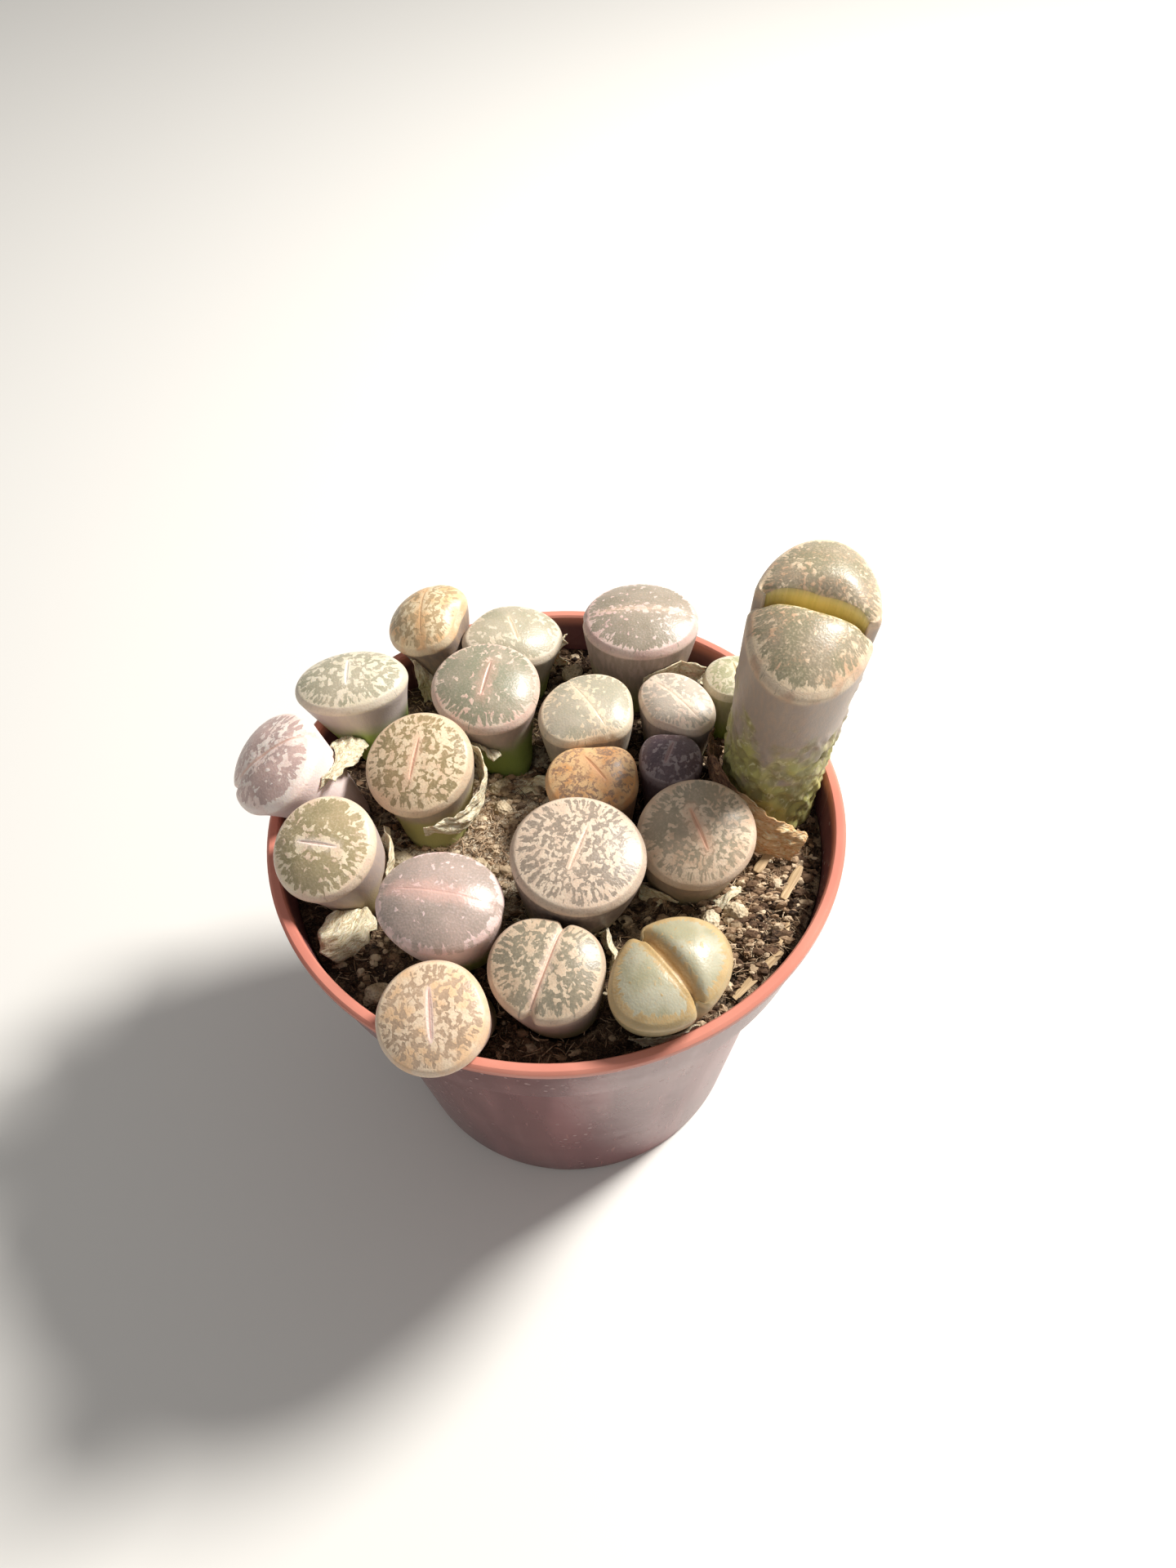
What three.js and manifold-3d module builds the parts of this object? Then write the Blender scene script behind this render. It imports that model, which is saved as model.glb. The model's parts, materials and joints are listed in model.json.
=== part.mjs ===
// A pot of living stones: twenty lithops bodies in gritty soil in a round plastic nursery pot.
// Millimetres, +Z up. The origin is the centre of the pot's underside, on the pad it rests on.
import * as THREE from "three";
import { mergeVertices } from "three/addons/utils/BufferGeometryUtils.js";
import Module from "manifold-3d";

const wasm = await Module();
wasm.setup();

// ---- driving dimensions -----------------------------------------------------------------------

const POT = {
  height: 94,
  rimRadius: 60,
  lipWidth: 2.4,
  lipDepth: 1.8,
  collarDepth: 18,
  collarFootRadius: 56.4,
  shoulderRadius: 52,
  baseRadius: 42,
  wall: 1,
  footWidth: 5,
  baseLift: 2,
  padRadius: 9,
  segments: 48,
};
const DRAIN = { count: 8, radius: 3.2, ring: 24 };
const SOIL_BELOW_RIM = 9;
// The gap kept between neighbouring pieces, and the smallest edge that a cut piece keeps.
const CLEAR = 0.35;
const TIDY = 0.02;
const SOIL_TOP = POT.height - SOIL_BELOW_RIM;
const ROOT_DEPTH = 10;

// How a body's two leaves part: reach along the face (0 to 1), half width of the opening and gap at its
// middle in mm, depth in mm, and how far the cleft bites into the sides as a share of the radius.
const FISSURES = {
  slit: { reach: 0.42, lip: 0.35, gap: 0, depth: 1.2, notch: 0 },
  seam: { reach: 0.8, lip: 0.35, gap: 0, depth: 1.0, notch: 0.02 },
  cleft: { reach: 1, lip: 0.5, gap: 0.3, depth: 2.6, notch: 0.14 },
  gape: { reach: 1, lip: 0.5, gap: 1.8, depth: 4.5, notch: 0.2 },
  split: { reach: 1, lip: 0.6, gap: 3.6, depth: 8, notch: 0.16 },
};

// face: centre of the face's plane, x and y; up: its height above the pot's rim; base: where the body
// meets the soil; long and wide: half sizes along and across the fissure; turn: the fissure's direction in
// degrees from +X; lean: the face's tilt in degrees towards +X and towards -Y; crown: rise of the face;
// foot: the body's width at the soil as a share of its width at the face, or one share each for along
// and across the fissure.
const PLANTS = [
  {
    face: [-27.6, 47.6], up: 11, base: [-26.4, 44], long: 9.8, wide: 10.3,
    turn: -97, lean: [-18, 6], crown: 3.6, foot: 0.41, taper: 1, fissure: "seam", pressed: [[-20, 2.5]],
  },
  {
    face: [-8.8, 45.2], up: 6.6, base: [-8.6, 43], long: 9.3, wide: 12.2,
    turn: -71, lean: [12, 4], crown: 2.5, foot: 0.58, fissure: "slit", pressed: [[160, 1.2], [-105, 2.2]],
  },
  {
    face: [-44.2, 31], up: 9, base: [-38.5, 26], long: 9.4, wide: 12.6,
    turn: -88, lean: [-4, -2], crown: 2.6, foot: 0.5, taper: 1, fissure: "slit",
  },
  {
    face: [-13.8, 25.4], up: 11, base: [-11, 21.5], long: 11.6, wide: 12.2,
    turn: -104, lean: [2, 10], crown: 3, foot: 0.5, taper: 1.1, fissure: "seam", pressed: [[-10, 0.8]],
  },
  {
    face: [20.6, 44.4], up: 11, base: [19, 41.5], long: 13.2, wide: 11.8,
    turn: -4, lean: [0, 0], crown: 2.8, foot: 0.68, fissure: "seam",
  },
  {
    face: [-58, 7.2], up: 10.5, base: [-46.3, 8], long: 11.2, wide: 11.8,
    turn: 16, lean: [-30, 8], crown: 3, foot: 0.46, taper: 0.9, fissure: "cleft",
  },
  {
    face: [-28, 6.3], up: 9, base: [-26, 4], long: 11.6, wide: 11.5,
    turn: -104, lean: [-8, 20], crown: 2.6, foot: 0.72, fissure: "slit",
  },
  {
    face: [8, 20.6], up: 7, base: [8, 19.5], long: 10.2, wide: 11.5,
    turn: -60, lean: [0, 4], crown: 2.5, foot: 0.76, fissure: "seam", pressed: [[5, 1.6], [-85, 2.4]],
  },
  {
    face: [26.9, 22.4], up: 6, base: [26.5, 22.6], long: 9.6, wide: 7.7,
    turn: -50, lean: [0, 6], crown: 2.2, foot: 0.78, fissure: "seam", pressed: [[185, 0.8], [-105, 1.6]],
  },
  {
    face: [40.6, 30.6], up: 5, base: [40, 28.5], long: 6.6, wide: 7,
    turn: -83, lean: [0, 0], crown: 2, foot: 0.7, fissure: "slit",
  },
  {
    face: [50.6, 9.6], up: 41, base: [45.4, 6], long: 12.2, wide: 18.6,
    turn: -20, lean: [4, 8], crown: 5, foot: [0.78, 0.54], fissure: "split", lift: 3.5,
  },
  {
    face: [8.6, 3.9], up: 5.5, base: [9, 2.2], long: 10, wide: 10.8,
    turn: -55, lean: [0, 8], crown: 2.7, foot: 0.76, fissure: "slit", pressed: [[86, 3.6], [5, 1.6], [-90, 1]],
  },
  {
    face: [24.4, 8.9], up: 4, base: [24, 6.5], long: 7.2, wide: 7.2,
    turn: -113, lean: [0, 6], crown: 2, foot: 0.76, fissure: "slit", pressed: [[175, 0.8], [85, 1.2]],
  },
  {
    face: [28, -14.2], up: 8, base: [27, -12.5], long: 11.3, wide: 12,
    turn: -72, lean: [2, 22], crown: 3, foot: 0.72, fissure: "slit",
  },
  {
    face: [4.6, -21.8], up: 14, base: [2.5, -19], long: 12.6, wide: 13.1,
    turn: -112, lean: [3, 8], crown: 2, foot: 0.7, fissure: "slit",
  },
  {
    face: [-45.6, -14.2], up: 9, base: [-42, -12], long: 10.6, wide: 10.9,
    turn: -14, lean: [-10, 20], crown: 2.5, foot: 0.74, fissure: "slit",
  },
  {
    face: [-21.8, -29], up: 11, base: [-20, -26.5], long: 12.2, wide: 10.7,
    turn: -12, lean: [0, 6], crown: 3.4, foot: 0.62, fissure: "seam",
  },
  {
    face: [-22.1, -52.7], up: 10, base: [-18.5, -43.5], long: 10.3, wide: 10.4,
    turn: -88, lean: [-4, 18], crown: 2, foot: 0.6, taper: 1.1, fissure: "slit", pressed: [[20, 0.6]],
  },
  {
    face: [-1.8, -42.6], up: 8, base: [-0.5, -40.4], long: 10.6, wide: 11.4,
    turn: -112, lean: [-2, 12], crown: 2.4, foot: 0.76, fissure: "cleft", pressed: [[-10, 0.8], [75, 1.4]],
  },
  {
    face: [19.9, -45.2], up: 9, base: [19.2, -41], long: 9.8, wide: 12.9,
    turn: -55, lean: [2, 6], crown: 3.8, foot: 0.68, fissure: "gape", pressed: [[180, 1]],
  },
];
const FACE_COLUMNS = [-1, -0.5, 0, 0.5, 1];
const SHOULDER_DROP = 1.7;

// ---- solids -----------------------------------------------------------------------------------

function bareOf(geometry) {
  const bare = geometry.clone();
  bare.deleteAttribute("normal");
  bare.deleteAttribute("uv");
  return bare;
}

function solidOf(geometry) {
  const merged = mergeVertices(bareOf(geometry), 1e-4);
  return new wasm.Manifold(
    new wasm.Mesh({
      numProp: 3,
      vertProperties: merged.attributes.position.array,
      triVerts: new Uint32Array(merged.index.array),
    }),
  );
}

function geometryOf(solid) {
  const mesh = solid.getMesh();
  const geometry = new THREE.BufferGeometry();
  geometry.setAttribute("position", new THREE.BufferAttribute(mesh.vertProperties, 3));
  geometry.setIndex(new THREE.BufferAttribute(mesh.triVerts, 1));
  geometry.computeVertexNormals();
  return geometry;
}

function geometryFrom(points, faces) {
  const geometry = new THREE.BufferGeometry();
  geometry.setAttribute(
    "position",
    new THREE.Float32BufferAttribute(points.flatMap((p) => p.toArray()), 3),
  );
  geometry.setIndex(faces.flat());
  return geometry;
}

// ---- a lithops body ---------------------------------------------------------------------------

const mix = THREE.MathUtils.lerp;
const smooth = THREE.MathUtils.smoothstep;

// The face's own axes: along the fissure, across it, and out of the face.
function faceFrame(plant) {
  const [leanX, leanY] = plant.lean.map(THREE.MathUtils.degToRad);
  const out = new THREE.Vector3(Math.sin(leanX), -Math.sin(leanY), 0);
  out.z = Math.sqrt(1 - out.lengthSq());
  const turn = THREE.MathUtils.degToRad(plant.turn);
  const along = new THREE.Vector3(Math.cos(turn), Math.sin(turn), 0);
  along.addScaledVector(out, -along.dot(out)).normalize();
  return { along, across: new THREE.Vector3().crossVectors(out, along), out };
}

// How much a body is pressed in by its neighbours in the direction of the unit-disc point (x, y).
function pressedAt(plant, x, y) {
  const angle = plant.turn + THREE.MathUtils.radToDeg(Math.atan2(y * plant.wide, x * plant.long));
  const size = (plant.long + plant.wide) / 2;
  return (plant.pressed ?? []).reduce((share, [towards, depth]) => {
    const off = ((angle - towards + 540) % 360) - 180;
    return share - (depth / size) * Math.exp(-((off / 34) ** 2));
  }, 1);
}

// The body's cross-section at a share s of the way from the face (0) to the soil (1), and its root beyond.
function sectionAt(plant, s) {
  const face = new THREE.Vector3(...plant.face, POT.height + plant.up);
  const base = new THREE.Vector3(...plant.base, SOIL_TOP);
  const height = face.distanceTo(base);
  const { along, out } = faceFrame(plant);
  const share = Math.min(s, 1);
  const straight = face.clone().addScaledVector(out, -share * height);
  const centre = straight.lerp(face.clone().lerp(base, share), share);
  const buried = Math.max(s - 1, 0);
  centre.multiply(new THREE.Vector3(1 - 0.1 * buried, 1 - 0.1 * buried, 1));
  centre.z -= buried * ROOT_DEPTH;
  const up = out.clone().lerp(new THREE.Vector3(0, 0, 1), share).normalize();
  const x = along.clone().addScaledVector(up, -along.dot(up)).normalize();
  const y = new THREE.Vector3().crossVectors(up, x);
  const shoulder = Math.min(SHOULDER_DROP / height, 0.2);
  const sink = Math.max((share - shoulder) / (1 - shoulder), 0);
  const feet = [plant.foot].flat();
  const [long, wide] = [feet[0], feet.at(-1)].map((foot, n) => {
    const flare = s < shoulder ? mix(0.93, 1, s / shoulder) : mix(1, foot, sink ** (plant.taper ?? 1.3));
    return flare * mix(1, 0.3, Math.min(buried, 1)) * (n ? plant.wide : plant.long);
  });
  return { centre, x, y, long, wide, sink };
}

// A closed mesh: the face is a square grid bent to a disc, its edge carried down in rings to the root.
function plantGeometry(plant, grow = 0) {
  const { reach, lip, gap, ...shape } = FISSURES[plant.fissure];
  const { depth, notch } = grow ? { depth: 0.4, notch: 0 } : shape;
  const { along, across, out } = faceFrame(plant);
  const face = new THREE.Vector3(...plant.face, POT.height + plant.up);
  const edge = lip / plant.wide;
  const rows = [-1, -0.62, -0.3, -edge, -edge / 2, edge / 2, edge, 0.3, 0.62, 1];
  const disc = (u, v) => [u * Math.sqrt(1 - (v * v) / 2), v * Math.sqrt(1 - (u * u) / 2)];
  const rim = sectionAt(plant, 0);
  const points = [];
  for (const v of rows)
    for (const u of FACE_COLUMNS) {
      const flat = disc(u, v);
      const [x, y] = flat.map((c) => c * mix(1, pressedAt(plant, ...flat), Math.hypot(...flat)));
      const [growX, growY] = flat.map((c) => c * grow);
      const inFissure = Math.abs(v) < edge ? 1 - smooth(Math.abs(u), reach * 0.75, reach * 1.15) : 0;
      const parting = Math.abs(v) <= edge ? 1 : 1 - Math.abs(v);
      const push = (Math.sign(v) * gap * (1 - u * u) * parting) / 2;
      const lift = (plant.lift ?? 0) * (v > 0 ? 1 : 0);
      const dome = plant.crown * (1 - Math.hypot(...flat) ** 2.4);
      const atEnd = Math.abs(u) === 1 && inFissure > 0;
      const open = atEnd ? Math.min(depth, 0.9) : depth;
      const rise = grow + lift + dome - open * inFissure;
      const bite = atEnd ? 1 - notch : 1;
      points.push(
        face.clone()
          .addScaledVector(along, x * bite * rim.long + growX)
          .addScaledVector(across, y * rim.wide + push + growY)
          .addScaledVector(out, rise),
      );
    }
  const columns = FACE_COLUMNS.length;
  const last = rows.length - 1;
  const border = [];
  for (let i = 0; i < columns; i++) border.push([i, 0]);
  for (let j = 1; j <= last; j++) border.push([columns - 1, j]);
  for (let i = columns - 2; i >= 0; i--) border.push([i, last]);
  for (let j = last - 1; j > 0; j--) border.push([0, j]);
  const faces = [];
  for (let j = 0; j < last; j++)
    for (let i = 0; i < columns - 1; i++) {
      const a = j * columns + i;
      const d = a + columns;
      faces.push([a, a + 1, d + 1], [a, d + 1, d]);
    }
  const shoulder = Math.min(SHOULDER_DROP / (plant.up + SOIL_BELOW_RIM), 0.2);
  const tall = plant.up > 20;
  const levels = tall ? [0.05, 0.2, 0.4, 0.6, 0.8, 1, 2] : [shoulder, 0.5, 1, 2];
  let above = border.map(([i, j]) => j * columns + i);
  for (const s of levels) {
    const { centre, x: sx, y: sy, long, wide, sink } = sectionAt(plant, s);
    const ring = border.map(([i, j]) => {
      const [x, y] = disc(FACE_COLUMNS[i], rows[j]);
      const bite = Math.abs(rows[j]) < edge ? notch * Math.max(1 - sink * 2.2, 0) : 0;
      const share = (1 - bite) * pressedAt(plant, x, y);
      points.push(
        centre.clone()
          .addScaledVector(sx, x * (long * share + grow))
          .addScaledVector(sy, y * (wide * share + grow)),
      );
      return points.length - 1;
    });
    ring.forEach((here, k) => {
      const next = (k + 1) % ring.length;
      faces.push([above[k], here, ring[next]], [above[k], ring[next], above[next]]);
    });
    above = ring;
  }
  points.push(sectionAt(plant, 2).centre.clone().setZ(SOIL_TOP - ROOT_DEPTH - 0.5 - grow));
  above.forEach((here, k) => faces.push([here, points.length - 1, above[(k + 1) % above.length]]));
  return geometryFrom(points, faces);
}

// ---- dried sheaths, stones and straws: where they lie ------------------------------------------

// path: the middle of the sheet, x, y and height above the rim; width: across it at start, middle and end;
// roll: how far it stands up from lying flat, degrees, at its start and end; curl: how far it bows, mm.
const SHEATHS = [
  {
    path: [[-28.5, 38.2, -9], [-28.8, 39.2, -2], [-31, 41, 6]],
    width: [3, 4.5, 2.5], roll: [0, 15], curl: 0.4,
  },
  {
    path: [[1, 50.5, -10.5], [1.5, 51, -5], [3.5, 51, -1]],
    width: [5, 5, 3], roll: [0, 0], curl: 1,
  },
  {
    path: [[21, 33, 1.2], [27, 34.8, 2.6], [34, 34.4, 0.6]],
    width: [5, 7, 6], roll: [98, 98], curl: 0.8,
  },
  {
    path: [[29.5, 40.5, -7.5], [32.5, 41, -5.2], [36, 39.8, -5.5]],
    width: [3.5, 5.5, 3.5], roll: [20, 0], curl: -0.8,
  },
  {
    path: [[-20, 17.5, 3], [-16, 11, 2.5], [-15.8, 3, 1.5], [-19.5, -3.6, 1.2], [-27, -6, 1.2]],
    width: [5, 7, 2.5], roll: [95, 95], curl: 0.6,
  },
  {
    path: [[-23.5, 22.5, 4.5], [-20, 21, 4], [-16.5, 18, 2], [-12.5, 14, -0.5]],
    width: [2.5, 5, 3], roll: [50, 20], curl: 0.8,
  },
  {
    path: [[-44, 23, -2], [-45, 15.5, 2.5], [-45.6, 8.5, 6.5], [-47.5, 2.5, 8.5]],
    width: [4.5, 6, 4.5], roll: [20, -20], curl: 1.2,
  },
  {
    path: [[-37, -4, -3], [-34.8, -9, -2], [-35.6, -15, -4]],
    width: [6, 8, 5], roll: [105, 105], curl: 1,
  },
  {
    path: [[-39, -20, -6.5], [-42.5, -24.5, -5.5], [-46, -29.5, -7.5]],
    width: [6, 9.5, 4], roll: [15, 25], curl: 1.4,
  },
  {
    path: [[7.5, -27, -5.5], [9.5, -31, -4.8], [10, -36, -5.8]],
    width: [6, 8, 5], roll: [90, 90], curl: 0.8,
  },
  {
    path: [[12.5, -50.2, -8], [19, -51.3, -7], [26, -49.3, -7]],
    width: [3, 5, 3], roll: [95, 95], curl: 0.4,
  },
  {
    path: [[-8, -25.5, -6], [-4, -29, -4], [2, -30, -4], [6, -28.5, -5]],
    width: [6, 8, 6], roll: [80, 80], curl: 0.6,
  },
  {
    path: [[29.5, -22, -8], [33, -20.5, -6.5], [36.5, -17.5, -7.5]],
    width: [3, 4.5, 3], roll: [35, 40], curl: 0.4,
  },
  {
    path: [[16.5, -17.5, -8], [19.5, -20, -6], [24, -21, -7]],
    width: [3, 5, 3], roll: [95, 95], curl: 0.6,
  },
  {
    path: [[35.5, 17, 0], [34.6, 9, 0.5], [36, 0.5, 0.5], [42, -7.5, -1.5], [50, -10, -5]],
    width: [7, 12, 7], roll: [60, 112], curl: -1,
  },
  {
    path: [[2, 10.5, -1.5], [7, 12.6, -2.2], [13, 12.4, -3.5]],
    width: [3, 4, 3], roll: [85, 85], curl: 0.4,
  },
  {
    path: [[-8, 12.5, -8.5], [-4, 12, -7.2], [-0.5, 10, -8]],
    width: [4, 5, 3], roll: [10, -5], curl: -0.8,
  },
];
const SHEATH_THICKNESS = 0.7;

// place: x, y and height above the rim of the middle; size: half sizes; turn: about Z, degrees.
const STONES = [
  { place: [-12.5, 12.5, -8.6], size: [2.6, 2, 1.9], turn: 20 },
  { place: [-16.5, -9.2, -8.6], size: [2.7, 2.2, 1.9], turn: 70 },
  { place: [-12, 6, -7.8], size: [2.4, 1.8, 1.6], turn: 130 },
  { place: [-33.5, -6.5, -8.4], size: [3, 2.4, 2.3], turn: 10 },
  { place: [4.5, 46.5, -8.2], size: [2.6, 2.1, 2.2], turn: 40 },
  { place: [2.2, 40.5, -8.4], size: [2.2, 1.8, 1.8], turn: 100 },
  { place: [-31, -21.5, -8], size: [3, 2.6, 2.8], turn: 60 },
  { place: [-36, -37, -10.2], size: [3, 2.4, 2], turn: 15 },
  { place: [30, -26, -6.4], size: [2.5, 1.9, 1.8], turn: 80 },
  { place: [35.5, -24, -6.2], size: [2.4, 2, 1.8], turn: 150 },
];

// from and to: the two ends, x, y and height above the rim; width: half width of the flat straw.
const STRAWS = [
  { from: [40.5, -14, -6.8], to: [46.5, -6, -6.3], width: 1 },
  { from: [45, -21, -6.6], to: [50.5, -13.5, -6.8], width: 0.9 },
  { from: [33, -42.5, -7.6], to: [43.5, -33.5, -6.6], width: 0.9 },
  { from: [45.5, -26, -7], to: [43, -32, -7], width: 0.6 },
];

// Soft rises and hollows of the soil: x, y, radius and height.
const MOUNDS = [
  [-15, 0, 9, 2.2],
  [36, -26, 14, 2],
  [-27, 42, 9, 2.5],
  [-36, -38, 15, -2],
  [10, 38, 9, -1],
];
const GRIT_COUNT = 22;

// ---- pot --------------------------------------------------------------------------------------

function lathe(outline) {
  const profile = outline.map(([r, z]) => new THREE.Vector2(r, z));
  return solidOf(new THREE.LatheGeometry(profile, POT.segments).rotateX(Math.PI / 2));
}

const COLLAR_FOOT = POT.height - POT.collarDepth;
const FLOOR_TOP = POT.baseLift + POT.wall;
const INNER_RIM = POT.rimRadius - POT.lipWidth;
const INNER_FOOT = POT.collarFootRadius - POT.wall;
const INNER_SHOULDER = POT.shoulderRadius - POT.wall;
const INNER_BASE = POT.baseRadius - POT.wall;

function potSolid() {
  const { height, rimRadius, lipDepth, collarFootRadius } = POT;
  const { shoulderRadius, baseRadius, footWidth, baseLift } = POT;
  const shell = lathe([
    [0, 0],
    [POT.padRadius, 0],
    [POT.padRadius + 1, baseLift],
    [baseRadius - footWidth - 1, baseLift],
    [baseRadius - footWidth, 0],
    [baseRadius - 1, 0],
    [baseRadius, 1],
    [shoulderRadius, COLLAR_FOOT - 1],
    [shoulderRadius + 0.8, COLLAR_FOOT],
    [collarFootRadius - 0.4, COLLAR_FOOT],
    [collarFootRadius, COLLAR_FOOT + 0.5],
    [rimRadius - 0.8, height - lipDepth - 0.4],
    [rimRadius, height - lipDepth],
    [rimRadius, height - 0.5],
    [rimRadius - 0.6, height],
    [INNER_RIM + 0.4, height],
    [INNER_RIM, height - 0.5],
    [INNER_FOOT, COLLAR_FOOT + 1.4],
    [INNER_SHOULDER + 0.3, COLLAR_FOOT + 1],
    [INNER_SHOULDER, COLLAR_FOOT + 0.4],
    [INNER_BASE, FLOOR_TOP + 1],
    [INNER_BASE - 1, FLOOR_TOP],
    [0, FLOOR_TOP],
  ]);
  const drill = wasm.Manifold.cylinder(10, DRAIN.radius, DRAIN.radius, 14);
  return Array.from({ length: DRAIN.count }).reduce((pot, _, n) => {
    const angle = ((n + 0.5) * 2 * Math.PI) / DRAIN.count;
    const at = [DRAIN.ring * Math.cos(angle), DRAIN.ring * Math.sin(angle), -4];
    return pot.subtract(drill.translate(at));
  }, shell);
}

function rimRoom() {
  const top = POT.height + CLEAR;
  return lathe([
    [INNER_SHOULDER - CLEAR, COLLAR_FOOT - 5],
    [POT.rimRadius + CLEAR, COLLAR_FOOT - 5],
    [POT.rimRadius + CLEAR, top],
    [INNER_RIM - CLEAR, top],
    [INNER_FOOT - CLEAR, COLLAR_FOOT + 1.8],
    [INNER_SHOULDER - CLEAR, COLLAR_FOOT + 1.4],
    [INNER_SHOULDER - CLEAR, COLLAR_FOOT - 5],
  ]);
}

// ---- soil -------------------------------------------------------------------------------------

// The plain hole that a body stands in: its own section, a clearance wider, from above the soil to its root.
function socketSolid(plant) {
  const sides = 10;
  const levels = [0.72, 1, 2.12];
  const points = [];
  const faces = [];
  levels.forEach((s, level) => {
    const { centre, x, y, long, wide } = sectionAt(plant, s);
    for (let k = 0; k < sides; k++) {
      const angle = ((k + 0.5) * 2 * Math.PI) / sides;
      const share = 1 / Math.cos(Math.PI / sides);
      points.push(
        centre.clone()
          .addScaledVector(x, share * Math.cos(angle) * (long + CLEAR))
          .addScaledVector(y, share * Math.sin(angle) * (wide + CLEAR)),
      );
      const [a, b] = [level * sides + k, level * sides + ((k + 1) % sides)];
      if (level < levels.length - 1) faces.push([a, a + sides, b + sides], [a, b + sides, b]);
      if (k > 1 && level === 0) faces.push([0, k - 1, k]);
      if (k > 1 && level === levels.length - 1) faces.push([level * sides, a, a - 1]);
    }
  });
  return solidOf(geometryFrom(points, faces));
}

// A repeatable number from 0 to 1 for a pair of counters.
function chance(a, b = 0) {
  const wave = Math.sin(a * 12.9898 + b * 78.233 + 1.7) * 43758.5453;
  return wave - Math.floor(wave);
}

function soilHeight(x, y) {
  const swell = 0.5 * Math.sin(x / 6.1 + 1) * Math.cos(y / 5.3) + 0.3 * Math.sin((x + y) / 3.4);
  const rises = MOUNDS.map(([mx, my, r, h]) => h * Math.exp(-((x - mx) ** 2 + (y - my) ** 2) / (r * r)));
  return SOIL_TOP + swell + rises.reduce((sum, h) => sum + h, 0);
}

function soilBlock() {
  const around = POT.segments;
  const top = POT.height - SOIL_BELOW_RIM;
  const share = (top - COLLAR_FOOT - 1.4) / (POT.collarDepth - 1.9);
  const edge = mix(INNER_FOOT, INNER_RIM, share) - CLEAR;
  const radii = [6, 12, 18, 24, 30, 36, 42, 47, 51.5, edge];
  const rim = radii.length - 1;
  const points = [new THREE.Vector3(0, 0, soilHeight(0, 0))];
  radii.forEach((r, ring) => {
    for (let k = 0; k < around; k++) {
      const angle = ((k + (ring < rim ? 0.5 * (chance(k, ring) - 0.5) : 0)) * 2 * Math.PI) / around;
      const [x, y] = [r * Math.cos(angle), r * Math.sin(angle)];
      const z = soilHeight(x, y) + (ring < rim ? 0.9 * (chance(ring, k) - 0.5) : 0);
      points.push(new THREE.Vector3(x, y, ring < rim ? z : top - 0.6));
    }
  });
  const walls = [
    [INNER_FOOT - CLEAR, COLLAR_FOOT + 1.4 + CLEAR],
    [INNER_SHOULDER - CLEAR, COLLAR_FOOT + 1 + CLEAR],
    [INNER_BASE - CLEAR, FLOOR_TOP + 1.3],
    [INNER_BASE - 1.3, FLOOR_TOP + CLEAR],
  ];
  for (const [r, z] of walls)
    for (let k = 0; k < around; k++) {
      const angle = (k * 2 * Math.PI) / around;
      points.push(new THREE.Vector3(r * Math.cos(angle), r * Math.sin(angle), z));
    }
  points.push(new THREE.Vector3(0, 0, FLOOR_TOP + CLEAR));
  const faces = [];
  const rings = radii.length + walls.length;
  const at = (ring, k) => 1 + ring * around + (k % around);
  for (let k = 0; k < around; k++) {
    faces.push([0, at(0, k), at(0, k + 1)]);
    faces.push([points.length - 1, at(rings - 1, k + 1), at(rings - 1, k)]);
    for (let ring = 0; ring < rings - 1; ring++) {
      faces.push([at(ring, k), at(ring + 1, k), at(ring + 1, k + 1)]);
      faces.push([at(ring, k), at(ring + 1, k + 1), at(ring, k + 1)]);
    }
  }
  return solidOf(geometryFrom(points, faces));
}

// A pebble: an icosahedron with its corners pushed in and out.
function pebble({ place, size, turn }, seed, grow = 0) {
  const geometry = mergeVertices(bareOf(new THREE.IcosahedronGeometry(1, 0)), 1e-4);
  const corners = geometry.attributes.position;
  for (let i = 0; i < corners.count; i++) {
    const p = new THREE.Vector3().fromBufferAttribute(corners, i);
    p.multiplyScalar(0.85 + 0.3 * chance(i, seed));
    corners.setXYZ(i, p.x * (size[0] + grow), p.y * (size[1] + grow), p.z * (size[2] + grow));
  }
  geometry.rotateZ(THREE.MathUtils.degToRad(turn));
  geometry.translate(place[0], place[1], POT.height + place[2]);
  return solidOf(geometry);
}

function straw({ from, to, width }, grow = 0) {
  const [a, b] = [from, to].map(([x, y, z]) => new THREE.Vector3(x, y, POT.height + z));
  const length = a.distanceTo(b) + 2 * grow;
  const geometry = new THREE.CylinderGeometry(width * 0.7 + grow, width + grow, length, 6);
  geometry.scale(1, 1, 0.5);
  const ahead = b.clone().sub(a).normalize();
  geometry.applyQuaternion(new THREE.Quaternion().setFromUnitVectors(new THREE.Vector3(0, 1, 0), ahead));
  geometry.translate(...a.add(b).multiplyScalar(0.5).toArray());
  return solidOf(geometry);
}

// ---- dried sheaths ----------------------------------------------------------------------------

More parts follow.
